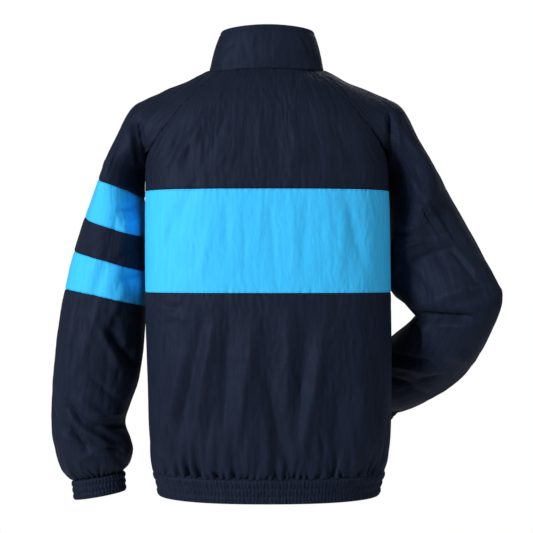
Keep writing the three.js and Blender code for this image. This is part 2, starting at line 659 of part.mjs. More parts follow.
// The two triangles of a four-cornered cell, split along its shorter diagonal
function splitCell(points, [a, b, c, d]) {
  const straight = points[a].distanceTo(points[c]) <= points[b].distanceTo(points[d]);
  return straight ? [[a, b, c], [a, c, d]] : [[a, b, d], [b, c, d]];
}

// One closed wall from a piece's cells: the inside is a wall deeper than the outside
function clothPiece(piece) {
  const own = cells.filter((cell) => cell.piece === piece);
  const { facing, edges } = pieceEdges(own);
  const inward = waysInward(facing, edges);
  const place = new Map();
  const outer = [];
  const inner = [];
  facing.forEach((_, id) => {
    const p = seamPlace(id, inward);
    place.set(id, outer.length);
    outer.push(p);
    inner.push(p.clone().addScaledVector(pool[id].normal, -WALL));
  });
  const count = outer.length;
  const faces = [];
  own.forEach((cell) => {
    splitCell(outer, cell.ids.map((id) => place.get(id))).forEach(([i, j, k]) => {
      faces.push([i, j, k], [i + count, k + count, j + count]);
    });
  });
  // Both pieces of a seam split its wall the same way, so their edges stay apart
  edges.forEach(([p, q]) => {
    const a = place.get(p);
    const b = place.get(q);
    if (p < q) faces.push([b, a, b + count], [a, a + count, b + count]);
    else faces.push([b, a, a + count], [b, a + count, b + count]);
  });
  return solid([...outer, ...inner], faces);
}

function solid(points, faces) {
  const geometry = new THREE.BufferGeometry();
  const flat = points.flatMap((p) => [p.x, p.y, p.z]);
  geometry.setAttribute("position", new THREE.Float32BufferAttribute(flat, 3));
  geometry.setIndex(faces.flat());
  geometry.computeVertexNormals();
  return geometry;
}

// The faces of a grid of point numbers, out to the front or turned to the back
function gridFaces(grid, closed, inside) {
  const columns = grid[0].length;
  const faces = [];
  for (let r = 0; r + 1 < grid.length; r += 1) {
    for (let k = 0; k < (closed ? columns : columns - 1); k += 1) {
      const n = (k + 1) % columns;
      const [a, b, c, d] = [grid[r][k], grid[r + 1][k], grid[r + 1][n], grid[r][n]];
      faces.push(...(inside ? [[a, d, c], [a, c, b]] : [[a, b, c], [a, c, d]]));
    }
  }
  return faces;
}

// A rim fans from each span of the inner row to its own share of the outer row
function rimFaces(outer, inner, each, closed, low) {
  const faces = [];
  const face = (a, b, c) => faces.push(low ? [a, c, b] : [a, b, c]);
  const middle = Math.floor(each / 2);
  const outerAt = (k) => outer[k % outer.length];
  for (let k = 0; k < (closed ? inner.length : inner.length - 1); k += 1) {
    const a = inner[k];
    const b = inner[(k + 1) % inner.length];
    for (let j = 0; j < each; j += 1) {
      face(outerAt(k * each + j), outerAt(k * each + j + 1), j < middle ? a : b);
    }
    face(a, outerAt(k * each + middle), b);
  }
  return faces;
}

// The cut end of an open wall, from its outer and inner columns
function endFaces(outer, inner, atEnd) {
  const faces = [];
  const face = (p, q, r) => faces.push(atEnd ? [p, q, r] : [p, r, q]);
  const even = inner.length === outer.length;
  for (let r = 0; r + 1 < outer.length; r += 1) face(outer[r], outer[r + 1], inner[even ? r : 0]);
  for (let r = 0; r + 1 < inner.length; r += 1) {
    face(inner[r], outer[even ? r + 1 : outer.length - 1], inner[r + 1]);
  }
  return faces;
}

// A wall between two grids of points. The inner grid is coarser round: each of its columns backs
// "each" outer columns. Closed grids wrap round.
function ribbedWall(outerGrid, innerGrid, each, closed) {
  const points = [];
  const number = (grid) => grid.map((row) => row.map((p) => points.push(p) - 1));
  const outer = number(outerGrid);
  const inner = number(innerGrid);
  const faces = [...gridFaces(outer, closed, false), ...gridFaces(inner, closed, true)];
  faces.push(...rimFaces(outer[0], inner[0], each, closed, false));
  faces.push(...rimFaces(outer[outer.length - 1], inner[inner.length - 1], each, closed, true));
  if (!closed) {
    const column = (grid, atEnd) => grid.map((row) => row[atEnd ? row.length - 1 : 0]);
    faces.push(...endFaces(column(outer, false), column(inner, false), false));
    faces.push(...endFaces(column(outer, true), column(inner, true), true));
  }
  return solid(points, faces);
}

// How proud the ribbed cloth stands: stitch lines are low, channels high, rims nearly flat
function ribHeight(lane, rib) {
  if (lane === 0 || lane === LANES) return rib * RIB_HIGH * RIM_RIB;
  if (lane % 2 === 1) return CHANNEL_HIGH + rib * RIB_HIGH;
  return rib * RIB_HIGH * STITCHED_RIB;
}

// The first and last point of an open row stand on the zip's edge
function meetZip(row) {
  [row[0], row[row.length - 1]].forEach((p) => p.setX(Math.sign(p.x) * ZIP_HALF));
  return row;
}

function hemBand() {
  const columns = HEM_RIBS * 2;
  const top = HEM_SEAM_Z - HEM.gap;
  const endAt = (z) => zipAngle(bodySize(z, "front"));
  const shares = evenShares(columns, -endAt(EVEN_HEM_Z), endAt(EVEN_HEM_Z), EVEN_HEM_Z);
  const hemPoint = (share, z, lift) => {
    const p = bodyPoint(endAt(z) * (2 * share - 1), z);
    return p.addScaledVector(V(p.x, p.y, 0).normalize(), lift - HEM.inset);
  };
  const outer = [];
  for (let lane = 0; lane <= LANES; lane += 1) {
    const z = top + ((HEM_LOW_Z - top) * lane) / LANES;
    const calm = (k) => smooth(0, HEM.plainRibs, Math.min(k, columns - k));
    outer.push(meetZip(shares.map((share, k) => hemPoint(share, z, ribHeight(lane, k % 2) * calm(k)))));
  }
  const innerShares = shares.filter((_, k) => k % RIBS_PER_INNER === 0);
  const inner = [top, HEM_LOW_Z].map((z) => {
    return meetZip(innerShares.map((share) => hemPoint(share, z, -HEM.thick)));
  });
  return ribbedWall(outer, inner, RIBS_PER_INNER, false);
}

// A cuff's ring, some way below the sleeve's last ring and drawn in by an inset
function cuffRing(end, down, inset) {
  const shift = end.axis.clone().multiplyScalar(down);
  const across = acrossRing(end);
  const taper = inset + (down / CUFF.long) * CUFF.taper;
  return {
    outer: end.outer.clone().add(shift).addScaledVector(across, -taper),
    inner: end.inner.clone().add(shift).addScaledVector(across, taper),
    back: end.back,
    deepBack: end.deepBack - taper,
    deepFront: end.deepFront - taper,
    tilt: 0,
  };
}

function cuff(rings, side) {
  const end = sleeveRing(rings, rings.length - 1);
  const columns = CUFF_RIBS * 2;
  const turn = (k) => (side < 0 ? 1 - k / columns : k / columns) % 1;
  const outer = [];
  for (let lane = 0; lane <= LANES; lane += 1) {
    const ring = cuffRing(end, CUFF.gap + (CUFF.long * lane) / LANES, CUFF.inset);
    const middle = ring.outer.clone().add(ring.inner).multiplyScalar(0.5);
    const row = [];
    for (let k = 0; k < columns; k += 1) {
      const p = ringPoint(ring, turn(k));
      const out = p.clone().sub(middle).normalize();
      row.push(p.addScaledVector(out, ribHeight(lane, k % 2)));
    }
    outer.push(row);
  }
  const inner = [CUFF.gap, CUFF.gap + CUFF.long].map((down) => {
    const ring = cuffRing(end, down, CUFF.inset + CUFF.thick);
    const row = [];
    for (let k = 0; k < columns; k += RIBS_PER_INNER) row.push(ringPoint(ring, turn(k)));
    return row;
  });
  return ribbedWall(outer, inner, RIBS_PER_INNER, true);
}

// The stand collar, from one zip edge round the back of the neck to the other: its top edge's half
// width, depths and heights, how far its wall bows out, and how far its top leans to the right
const COLLAR = {
  half: 79.5, back: 64, front: 80, square: 2.4, backZ: 72, sideZ: 67, frontZ: 6, slope: 1.4,
  thick: 1.8, bow: 3.2, draw: 0.8, shift: 1.8, shiftFrom: -0.8, shiftTo: 0.2, away: 0.3, gap: 0.4,
};
const COLLAR_COLUMNS = 48;
const COLLAR_ROWS = 4;

function collarTop(angle) {
  const c = Math.cos(angle);
  if (c > 0) return COLLAR.sideZ + (COLLAR.backZ - COLLAR.sideZ) * c * c;
  return COLLAR.sideZ - (COLLAR.sideZ - COLLAR.frontZ) * Math.abs(c) ** COLLAR.slope;
}

function collarPoint(angle, high) {
  const c = Math.cos(angle);
  const low = neckRadius(angle) + COLLAR.away;
  const top = oval(angle, COLLAR.half, c > 0 ? COLLAR.back : COLLAR.front, COLLAR.square);
  const lowZ = neckHeight(angle) + COLLAR.gap;
  const r = low + (top - low) * high ** COLLAR.draw + COLLAR.bow * Math.sin(Math.PI * high);
  const shift = COLLAR.shift * high * smooth(COLLAR.shiftFrom, COLLAR.shiftTo, c);
  return V(r * Math.sin(angle) + shift, -r * c, lowZ + (collarTop(angle) - lowZ) * high);
}

function collar() {
  const outer = [];
  const inner = [];
  for (let r = 0; r <= COLLAR_ROWS; r += 1) {
    const high = 1 - r / COLLAR_ROWS;
    const end = zipAngle(collarPoint(Math.PI, high).y);
    const angles = [];
    for (let k = 0; k <= COLLAR_COLUMNS; k += 1) angles.push(end * ((2 * k) / COLLAR_COLUMNS - 1));
    const row = angles.map((angle) => collarPoint(angle, high));
    const inside = angles.map((angle, k) => {
      return row[k].clone().addScaledVector(V(Math.sin(angle), -Math.cos(angle), 0), -COLLAR.thick);
    });
    outer.push(meetZip(row));
    inner.push(meetZip(inside));
  }
  return ribbedWall(outer, inner, 1, false);
}

// The zip's tapes: near and far edge from the middle, thickness, and the room for the bottom box
const TAPE = { near: 0.2, far: 6.6, thick: 1.5, boxHigh: 11, gap: 0.3, everyYoke: 2, everyBody: 3 };

// The zip's line down the centre front, from the collar's top to just above the hem's bottom
function zipLine() {
  const line = [];
  for (let r = 0; r <= COLLAR_ROWS; r += 1) line.push(collarPoint(Math.PI, 1 - r / COLLAR_ROWS));
  for (let r = RAGLAN_ROWS - 1; r >= 0; r -= TAPE.everyYoke) line.push(yokePoint(Math.PI, r / RAGLAN_ROWS));
  const bodyHeights = BODY_STEPS.filter((_, r) => r > 0 && r % TAPE.everyBody === 0);
  bodyHeights.forEach((z) => line.push(bodyPoint(Math.PI, z)));
  const low = HEM_LOW_Z + TAPE.boxHigh + TAPE.gap;
  line.push(bodyPoint(Math.PI, (HEM_SEAM_Z + low) / 2), bodyPoint(Math.PI, low));
  return line.map((p) => V(0, p.y, p.z));
}

// The four corners of a tape's section at each point of the zip's line
function tapePoints(side, line) {
  return line.flatMap((p, i) => {
    const before = line[Math.max(i - 1, 0)];
    const after = line[Math.min(i + 1, line.length - 1)];
    const along = after.clone().sub(before).normalize();
    const deep = V(0, along.z, -along.y).multiplyScalar(TAPE.thick);
    return [TAPE.near, TAPE.far].flatMap((x) => {
      const q = V(side * x, p.y, p.z);
      return [q, q.clone().add(deep)];
    });
  });
}

function zipTape(side) {
  const line = zipLine();
  const faces = [];
  const quad = (a, b, c, d) => faces.push(...(side < 0 ? [[a, b, c], [a, c, d]] : [[a, c, b], [a, d, c]]));
  for (let i = 0; i + 1 < line.length; i += 1) {
    const a = i * 4;
    const b = a + 4;
    quad(a, b, b + 2, a + 2);
    quad(a + 2, b + 2, b + 3, a + 3);
    quad(a + 3, b + 3, b + 1, a + 1);
    quad(a + 1, b + 1, b, a);
  }
  const e = (line.length - 1) * 4;
  quad(0, 2, 3, 1);
  quad(e, e + 1, e + 3, e + 2);
  return solid(tapePoints(side, line), faces);
}

// Hard zip pieces, drawn with Y away from the tape. The slider's frame for the tab stands on its plate.
const SLIDER = {
  wide: 9.4, high: 12, thick: 2.4, corner: 2.6,
  arch: 3, archOut: 4.6, archLong: 9, archCorner: 1.4, holeOut: 3.2, hole: 6.2, holeCorner: 0.8, gap: 0.4,
};
// The pull tab: its top bar passes through the slider's frame, with a window below and a slot at the end
const TAB = {
  wide: 7.4, long: 30, thick: 1.4, corner: 2.2, square: 2.4, bar: 1.4, y: 1.6, z: -2,
  window: 4.4, windowLong: 6.8, windowCorner: 0.6, slot: 3.2, slotLong: 10, slotCorner: 1.59, slotUp: 9,
};
const BOX = { wide: 12.6, thick: 3.6, corner: 1.6, sink: 2.6 };
const CORNER_STEPS = 4;
const SMALL_CORNER_STEPS = 3;
const CUT_PAST = 1;

function fromManifold(shape) {
  const mesh = shape.getMesh();
  const geometry = new THREE.BufferGeometry();
  geometry.setAttribute("position", new THREE.BufferAttribute(new Float32Array(mesh.vertProperties), 3));
  geometry.setIndex(new THREE.BufferAttribute(new Uint32Array(mesh.triVerts), 1));
  geometry.computeVertexNormals();
  return geometry;
}

// A plate with rounded corners in X and Y, pulled up along Z
function plate(wide, high, corner, steps, thick) {
  const outline = [];
  const x = wide / 2 - corner;
  const y = high / 2 - corner;
  [[x, y, 0], [-x, y, 90], [-x, -y, 180], [x, -y, 270]].forEach(([cx, cy, start]) => {
    for (let i = 0; i <= steps; i += 1) {
      const a = (start + (90 * i) / steps) * RAD;
      outline.push([cx + corner * Math.cos(a), cy + corner * Math.sin(a)]);
    }
  });
  return wasm.Manifold.extrude(new wasm.CrossSection([outline]), thick);
}

// A plate for cutting right through, starting a little below
function cutter(wide, high, corner, steps, thick) {
  return plate(wide, high, corner, steps, thick + 2 * CUT_PAST).translate([0, 0, -CUT_PAST]);
}

// From a plate in X and Y to one in X and Z pulled out along Y, starting at y
const upright = (shape, y, thick) => shape.rotate([90, 0, 0]).translate([0, y + thick, 0]);

function sliderShape() {
  const s = SLIDER;
  const body = upright(plate(s.wide, s.high, s.corner, CORNER_STEPS, s.thick), -s.thick, s.thick);
  const frame = plate(s.archOut * 2, s.archLong, s.archCorner, SMALL_CORNER_STEPS, s.arch)
    .subtract(cutter(s.holeOut * 2, s.hole, s.holeCorner, SMALL_CORNER_STEPS, s.arch));
  const turned = frame.rotate([90, 0, 0]).rotate([0, 0, 90]).translate([-s.arch / 2, 0, 0]);
  // Only the frame's front half stands on the plate
  const room = 2 * s.archLong;
  const behind = wasm.Manifold.cube([room, room, room], true).translate([0, -room / 2 - s.gap, 0]);
  return body.add(turned.subtract(behind));
}

function tabShape() {
  const t = TAB;
  const top = t.z + t.bar / 2;
  const body = plate(t.wide, t.long, t.corner, CORNER_STEPS, t.thick).translate([0, top - t.long / 2, 0]);
  const corners = wasm.Manifold.cube([t.wide, t.square, t.thick], false)
    .translate([-t.wide / 2, top - t.square, 0]);
  const window = cutter(t.window, t.windowLong, t.windowCorner, 2, t.thick)
    .translate([0, t.z - t.bar / 2 - t.windowLong / 2, 0]);
  const slot = cutter(t.slot, t.slotLong, t.slotCorner, CORNER_STEPS, t.thick)
    .translate([0, top - t.long + t.slotUp, 0]);
  return upright(body.add(corners).subtract(window).subtract(slot), t.y - t.thick / 2, t.thick);
}

const group = new THREE.Group();

// Colours as the photo shows them
const NAVY = new THREE.MeshStandardMaterial({ color: 0x262d40, side: THREE.DoubleSide });
const BLUE = new THREE.MeshStandardMaterial({ color: 0x4cbff5, side: THREE.DoubleSide });
const METAL = new THREE.MeshStandardMaterial({ color: 0x1c1f28 });

function addMesh(name, geometry, material) {
  const mesh = new THREE.Mesh(geometry, material);
  mesh.name = name;
  group.add(mesh);
}

[...new Set(cells.map((cell) => cell.piece))].forEach((piece) => {
  const blue = piece === "back_band" || piece.includes("stripe");
  addMesh(piece, clothPiece(piece), blue ? BLUE : NAVY);
});
addMesh("hem_band", hemBand(), NAVY);
addMesh("cuff_left", cuff(LEFT_RINGS, -1), NAVY);
addMesh("cuff_right", cuff(RIGHT_RINGS, 1), NAVY);
addMesh("collar", collar(), NAVY);
addMesh("zip_tape_left", zipTape(-1), NAVY);
addMesh("zip_tape_right", zipTape(1), NAVY);

// The slider rests near the collar's top; its frame leans with the collar's front
const SLIDER_HIGH = 0.76;
const LEAN_REACH = 0.1;
const TAPE_CLEAR = 0.9;
const seat = collarPoint(Math.PI, SLIDER_HIGH);
const higher = collarPoint(Math.PI, SLIDER_HIGH + LEAN_REACH);
const lean = -Math.atan2(higher.y - seat.y, higher.z - seat.z) / RAD;
const sliderHome = [0, seat.y + TAPE_CLEAR + SLIDER.thick, seat.z];
const placed = (shape) => fromManifold(shape.rotate([lean, 0, 0]).translate(sliderHome));
addMesh("zip_slider", placed(sliderShape()), METAL);
addMesh("zip_pull", placed(tabShape()), METAL);

const boxSeat = bodyPoint(Math.PI, HEM_LOW_Z + TAPE.boxHigh / 2);
const boxPlate = plate(BOX.wide, TAPE.boxHigh, BOX.corner, SMALL_CORNER_STEPS, BOX.thick);
const box = upright(boxPlate, 0, BOX.thick).translate([0, boxSeat.y - BOX.sink, boxSeat.z]);
addMesh("zip_box", fromManifold(box), METAL);

export default group;
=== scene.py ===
# A windbreaker jacket in its worn shape, seen from the back: crinkled nylon panels sewn round a hollow.
# Sizes are millimetres until a mesh is made. +X is the wearer's right, +Y the wearer's front, +Z up.
import math
from collections import namedtuple

import bpy
import numpy as np
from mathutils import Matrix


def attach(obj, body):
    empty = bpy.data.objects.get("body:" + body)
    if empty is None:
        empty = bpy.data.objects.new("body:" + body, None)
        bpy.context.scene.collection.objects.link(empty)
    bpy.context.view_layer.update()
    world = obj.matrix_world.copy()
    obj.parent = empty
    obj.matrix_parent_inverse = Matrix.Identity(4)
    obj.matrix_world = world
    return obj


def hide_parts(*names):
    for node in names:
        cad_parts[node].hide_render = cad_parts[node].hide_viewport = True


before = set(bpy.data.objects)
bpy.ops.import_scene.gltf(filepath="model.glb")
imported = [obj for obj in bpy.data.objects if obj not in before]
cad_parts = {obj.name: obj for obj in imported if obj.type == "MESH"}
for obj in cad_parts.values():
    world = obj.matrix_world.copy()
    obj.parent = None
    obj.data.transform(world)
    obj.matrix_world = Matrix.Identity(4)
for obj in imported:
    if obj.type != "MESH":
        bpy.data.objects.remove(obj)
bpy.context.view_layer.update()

MM = 0.001

# Cloth and seams
CLOTH = 0.8
EDGE_BACK = 0.2
SEAM_DEEP = 1.2
SEAM_WIDE = 1.6
ZIP_HALF = 7
GRID_FINE = 2.3
GRID_PLAIN = 3.0
EDGE_STEPS = (0, 0.9, 1.9)

# Heights of the seams across the body
ARMPIT_Z = -171
BAND_TOP_Z = -207
BAND_LOW_Z = -377
HEM_SEAM_Z = -683
HEM_LOW_Z = -722
NECK_TURN = math.radians(72)
YOKE_LONG = 205


def table(columns, *rows):
    """Rows of numbers as one array for each named column."""
    return dict(zip(columns.split(), np.array(rows, float).T))


# The body's rings: how far down, half widths, depths and how square the back's corners are
BODY = table(
    "down left right back front square",
    (171, 206, 207.5, 132, 122, 3),
    (260, 206.8, 210, 136, 126, 3),
    (415, 205.8, 212, 138, 128, 3),
    (540, 202, 213.6, 138, 128, 2.9),
    (620, 200, 212.4, 137, 127, 2.75),
    (662, 198, 208.4, 134, 124, 2.55),
    (683, 194.5, 203, 130, 120, 2.45),
    (702, 188.6, 197, 127, 117.5, 2.35),
    (722, 185.4, 193, 126, 116.5, 2.3),
)
FRONT_SQUARE = 2.3

# The neckline's height by the angle from the centre back, and its half width and depths
NECKLINE = table(
    "angle z",
    (0, -3.5),
    (30, -4),
    (57, -5),
    (75, -1.5),
    (90, 0.5),
    (110, -12),
    (135, -40),
    (160, -65),
    (180, -72),
)
NECK_HALF, NECK_BACK, NECK_FRONT = 98, 75, 88

# The raglan seams, in degrees from the centre back and the centre front, from armpit (0) to neck (1)
RAGLAN = table(
    "up back front",
    (0, 90, 90),
    (0.1, 77, 76),
    (0.2, 69.5, 67),
    (0.3, 65, 61),
    (0.4, 61.5, 57),
    (0.5, 59.3, 54),
    (0.6, 57, 52),
    (0.7, 54.7, 51),
    (0.8, 53.3, 52),
    (0.9, 53.1, 55),
    (1, 57.3, 60),
)

# The shoulder's top line from the arm (0) in to the neck (1)
SHOULDER = table(
    "up x y z",
    (0, 268.5, 4, -141),
    (0.1, 253.5, 3, -106),
    (0.2, 241.5, 2, -79),
    (0.3, 227, 1, -59),
    (0.4, 208, 0, -48.5),
    (0.5, 188, 0, -39.8),
    (0.6, 168, 0, -31),
    (0.7, 148, 0, -22.6),
    (0.8, 129.6, 0, -15),
    (0.9, 113, 0, -8),
    (1, 98, 0, 0.5),
)

# Rings of the hanging sleeve: outer and inner edge, and how deep the ring is to the back and the front
SLEEVE_LEFT = table(
    "ring ox oy oz ix iy iz back front",
    (0, -268.5, 4, -141, -206, 0, -171, 77, 96),
    (1, -287.8, 26, -184, -209.5, 30, -216, 96, 92),
    (2, -314.2, 34, -246.6, -208.5, 38, -281, 95, 86),
    (3, -335, 38, -305.3, -208, 42, -341.6, 88, 80),
    (4, -350.5, 38, -372.7, -208.5, 42, -403.8, 82, 74),
    (5, -361.3, 36, -435.1, -211.5, 38, -457.6, 74, 70),
    (6, -366.4, 34, -487.2, -215.5, 34, -499.4, 68, 68),
    (7, -369, 34, -539.7, -222.4, 34, -536.3, 62, 66),
    (8, -370.8, 38, -583.8, -236, 38, -573.3, 58, 62),
    (9, -372, 42, -626, -245, 42, -605.1, 56, 58),
    (10, -368.5, 44, -652.5, -236.5, 44, -633.2, 54, 55),
    (11, -361.5, 46, -680.7, -232, 46, -654.5, 49, 50),
    (12, -352.5, 46, -696.4, -237.8, 46, -677.2, 41, 42),
    (13, -340.4, 46, -707.2, -247.7, 46, -690.6, 33, 34),
)

# Rings of the bent sleeve, whose forearm comes forward and in towards the front of the body
SLEEVE_RIGHT = table(
    "ring ox oy oz ix iy iz back front",
    (0, 268.5, 4, -141, 207.5, 0, -171, 84, 92),
    (1, 296.5, 24, -176.6, 212, 34, -224.6, 96, 86),
    (2, 329, 30, -230.4, 213.5, 44, -283.2, 94, 78),
    (3, 354, 6, -279.2, 215, 44, -336.4, 86, 70),
    (4, 371.5, -16, -316.2, 215.5, 34, -375, 72, 62),
    (5, 382, -48, -344.8, 228.5, 16, -391, 60, 58),
    (6, 389.5, -66, -368.6, 244, 10, -403.5, 54, 57),
    (7, 392.5, -70, -387, 258, 14, -413, 52, 56),
    (8, 389.5, -61, -411, 254.5, 21, -420, 52, 56),
    (9, 379, -46, -440, 249.5, 30, -427, 54, 57),
    (10, 368, -27, -467.5, 242.5, 41, -434.5, 56, 60),
    (11, 354.5, -3, -496, 234, 57, -443.5, 57, 62),
    (12, 335, 27, -526, 224, 79, -453.5, 56, 63),
    (13, 309.5, 55, -552, 211.5, 99, -467, 54, 62),
    (14, 283, 80, -572.5, 199, 116, -482, 50, 58),
    (15, 264, 100, -585, 191, 128, -498, 45, 51),
    (16, 249.5, 116, -592.5, 184.5, 136, -516, 38, 42),
    (17, 235.5, 130, -598, 178, 144, -538, 31, 33),
)

# Folds on the back: a line from (x1, z1) to (x2, z2), its height (below 0 for a trough) and half width
BACK_FOLDS = table(
    "x1 z1 x2 z2 high wide",
    (-103, -421, -117, -493, -5, 14),
    (-117, -493, -163, -669, -5, 13),
    (-138, -485, -168, -614, 5, 15),
    (-60, -413, -71, -587, -5, 13),
    (-90, -439, -117, -601, 5, 14),
    (-20, -426, -50, -628, 6, 16),
    (-1, -501, 26, -655, -5, 13),
    (36, -398, 34, -561, 5, 15),
    (64, -453, 50, -614, -5, 14),
    (93, -426, 61, -642, 6, 16),
    (120, -540, 108, -660, -5, 15),
    (150, -500, 169, -642, 5, 15),
    (180, -479, 185, -616, -4, 12),
    (-94, -92, -152, -162, 4, 12),
    (-136, -92, -164, -169, -5, 11),
    (-120, -201, -165, -307, -4, 13),
    (112, -98, 150, -178, -4, 12),
    (128, -205, 158, -330, -4, 14),
    (-222, -98, -208, -200, -9, 10),
    (228, -72, 216, -105, -3, 10),
    (216, -105, 214, -190, -4, 10),
    (-262, -170, -318, -300, 4, 16),
    (-250, -250, -300, -420, -4, 15),
    (-330, -420, -345, -560, 4, 15),
    (-352, -600, -300, -655, -6, 12),
    (-330, -580, -268, -612, 4, 13),
    (-308, -634, -236, -640, -5, 9),
    (268, -420, 350, -422, -8, 10),
    (262, -395, 340, -372, 5, 13),
    (300, -200, 352, -330, 4, 15),
    (250, -215, 300, -345, -4, 15),
    (290, -470, 356, -500, 4, 14),
)

# Folds on the front, softer ones of the same kind
FRONT_FOLDS = table(
    "x1 z1 x2 z2 high wide",
    (-120, -110, -165, -190, -4, 13),
    (118, -105, 160, -200, -4, 13),
    (-70, -250, -95, -430, 4, 17),
    (62, -240, 96, -400, 4, 17),
    (-130, -380, -150, -640, -5, 15),
    (-80, -480, -92, -650, 5, 16),
    (-45, -520, -40, -660, -4, 13),
    (50, -500, 42, -655, -4, 13),
    (92, -460, 84, -640, 5, 16),
    (128, -400, 150, -650, -5, 15),
    (-268, -190, -322, -340, 4, 16),
    (-252, -300, -300, -470, -4, 15),
    (-350, -590, -280, -640, -5, 12),
    (270, -418, 345, -440, -6, 11),
    (262, -370, 320, -350, 4, 13),
)

# How much deeper and narrower the cloth's folds are than the solids' ones
FOLD_GAIN = 1.3
FOLD_NARROW = 1.15

# Narrower creases of the back that lie in and between the folds
BACK_CREASES = table(
    "x1 z1 x2 z2 high wide",
    (-70, -36, -118, -120, 1.6, 7),
    (-95, -60, -150, -140, -1.8, 6),
    (-60, -70, -96, -160, -1.3, 7),
    (-122, -110, -134, -178, -2.6, 7),
    (-28, -70, -40, -170, -1.0, 8),
    (-12, -80, -10, -190, 1.1, 7),
    (14, -90, 22, -196, -1.2, 8),
    (48, -88, 40, -200, 1.2, 7),
    (66, -60, 92, -150, -1.2, 8),
    (90, -120, 100, -200, 1.2, 8),
    (-153, -243, -172, -330, -2.2, 8),
    (-88, -250, -108, -352, 1.8, 9),
    (-67, -214, -64, -320, -1.7, 7),
    (-46, -230, -40, -300, 1.2, 7),
    (-40, -240, -32, -366, -1.5, 7),
    (6, -232, 14, -360, -1.5, 7),
    (-8, -212, -14, -300, 1.3, 7),
    (40, -212, 46, -340, 1.4, 9),
    (66, -216, 60, -330, -1.7, 8),
    (96, -212, 104, -352, 1.4, 9),
    (130, -222, 118, -352, 1.6, 10),
    (-183, -392, -150, -402, -1.8, 6),
    (-180, -414, -138, -396, -2.2, 6),
    (-186, -432, -150, -424, -1.4, 6),
    (-170, -404, -132, -424, 1.6, 6),
    (-28, -520, -38, -640, -1.8, 7),
    (-88, -560, -104, -664, -2.2, 7),
    (-160, -590, -178, -668, -3.0, 7),
    (-120, -600, -128, -670, 2.0, 7),
    (2, -590, -2, -668, 2.0, 8),
    (74, -560, 72, -664, -2.4, 8),
    (86, -600, 96, -640, -2.6, 6),
    (140, -590, 146, -668, 1.8, 8),
    (168, -560, 160, -668, -2.4, 8),
    (184, -590, 178, -668, 1.6, 7),
)

# Creases of the sleeves on the back's side, as the photo shows them
SLEEVE_CREASES = table(
    "x1 z1 x2 z2 high wide",
    (-150, -40, -215, -86, -1.6, 8),
    (-170, -36, -236, -96, 1.6, 8),
    (-238, -120, -262, -206, -2.2, 8),
    (-276, -160, -296, -230, 1.8, 8),
    (-230, -214, -214, -262, -4.0, 8),
    (-244, -262, -232, -286, 2.2, 8),
    (-300, -300, -318, -372, -1.8, 9),
    (-240, -330, -222, -392, -3.0, 10),
    (-284, -380, -300, -470, 1.8, 9),
    (-316, -400, -330, -520, -1.8, 9),
    (-262, -440, -276, -560, -2.4, 9),
    (-346, -520, -352, -590, 1.8, 8),
    (-300, -560, -262, -600, -2.2, 8),
    (-290, -650, -330, -676, 2.4, 8),
    (-262, -652, -250, -676, -2.4, 7),
    (-342, -572, -286, -612, -4.5, 7),
    (-330, -556, -276, -590, 3.2, 8),
    (-322, -598, -240, -640, -4.0, 8),
    (-352, -622, -300, -640, 2.6, 7),
    (-226, -440, -232, -510, -4.0, 8),
    (-262, -410, -250, -470, -3.0, 9),
    (-290, -410, -316, -500, 2.4, 9),
    (262, -60, 300, -140, 1.6, 6),
    (272, -120, 330, -215, -2.2, 5),
    (286, -130, 344, -232, 1.8, 5),
    (292, -168, 352, -262, -2.0, 5),
    (318, -205, 372, -305, 1.6, 6),
    (330, -230, 352, -275, -1.8, 5),
    (242, -240, 262, -244, -1.8, 6),
    (246, -268, 272, -258, 1.6, 7),
    (240, -292, 300, -276, -1.8, 8),
    (300, -330, 350, -352, -2.2, 10),
    (330, -392, 372, -372, -1.6, 6),
    (262, -445, 258, -480, -3.2, 8),
    (282, -440, 276, -478, 2.2, 8),
    (262, -486, 305, -500, -2.4, 7),
    (250, -520, 300, -512, 2.2, 9),
    (240, -545, 282, -556, -2.0, 8),
)

# Deeper folds of the bent sleeve: at the elbow, down the upper arm and across the forearm
BENT_FOLDS = table(
    "x1 z1 x2 z2 high wide",
    (236, -411, 282, -419, -9.0, 5.5),
    (276, -418, 338, -417, -7.0, 3.5),
    (256, -398, 346, -404, 5.0, 7),
    (290, -432, 346, -434, 3.5, 7),
    (250, -426, 259, -470, -7.0, 7),
    (268, -434, 264, -472, 5.5, 5.5),
    (205, -484, 276, -498, -5.5, 6),
    (262, -480, 296, -499, 3.5, 5),
    (212, -505, 270, -512, 4.0, 7),
    (204, -527, 252, -538, -5.0, 7),
    (262, -528, 300, -520, -3.0, 5),
    (196, -276, 242, -281, -5.0, 4),
    (200, -266, 250, -270, 3.5, 6),
    (214, -298, 229, -334, -6.0, 7),
    (230, -300, 262, -291, 4.5, 6),
    (236, -306, 250, -350, 3.5, 7),
    (246, -340, 270, -388, -4.5, 8),
    (300, -396, 352, -381, -4.0, 4),
    (318, -362, 374, -348, -3.0, 6),
    (206, -76, 205, -120, -9.0, 4.5),
    (205, -120, 199, -176, -9.0, 5),
    (218, -84, 222, -150, 4.5, 6),
    (218, -125, 236, -172, 2.4, 3.5),
    (226, -118, 248, -166, -2.8, 3.5),
    (240, -174, 262, -216, -2.8, 3.5),
    (250, -168, 276, -216, 2.6, 3.5),
    (254, -228, 296, -286, -3.6, 3.5),
    (262, -222, 306, -282, 3.0, 3.5),
    (276, -228, 318, -290, -2.8, 3.5),
    (296, -290, 340, -345, -3.0, 3.5),
    (306, -284, 352, -348, 2.6, 3.5),
    (326, -330, 366, -384, -2.6, 4),
)

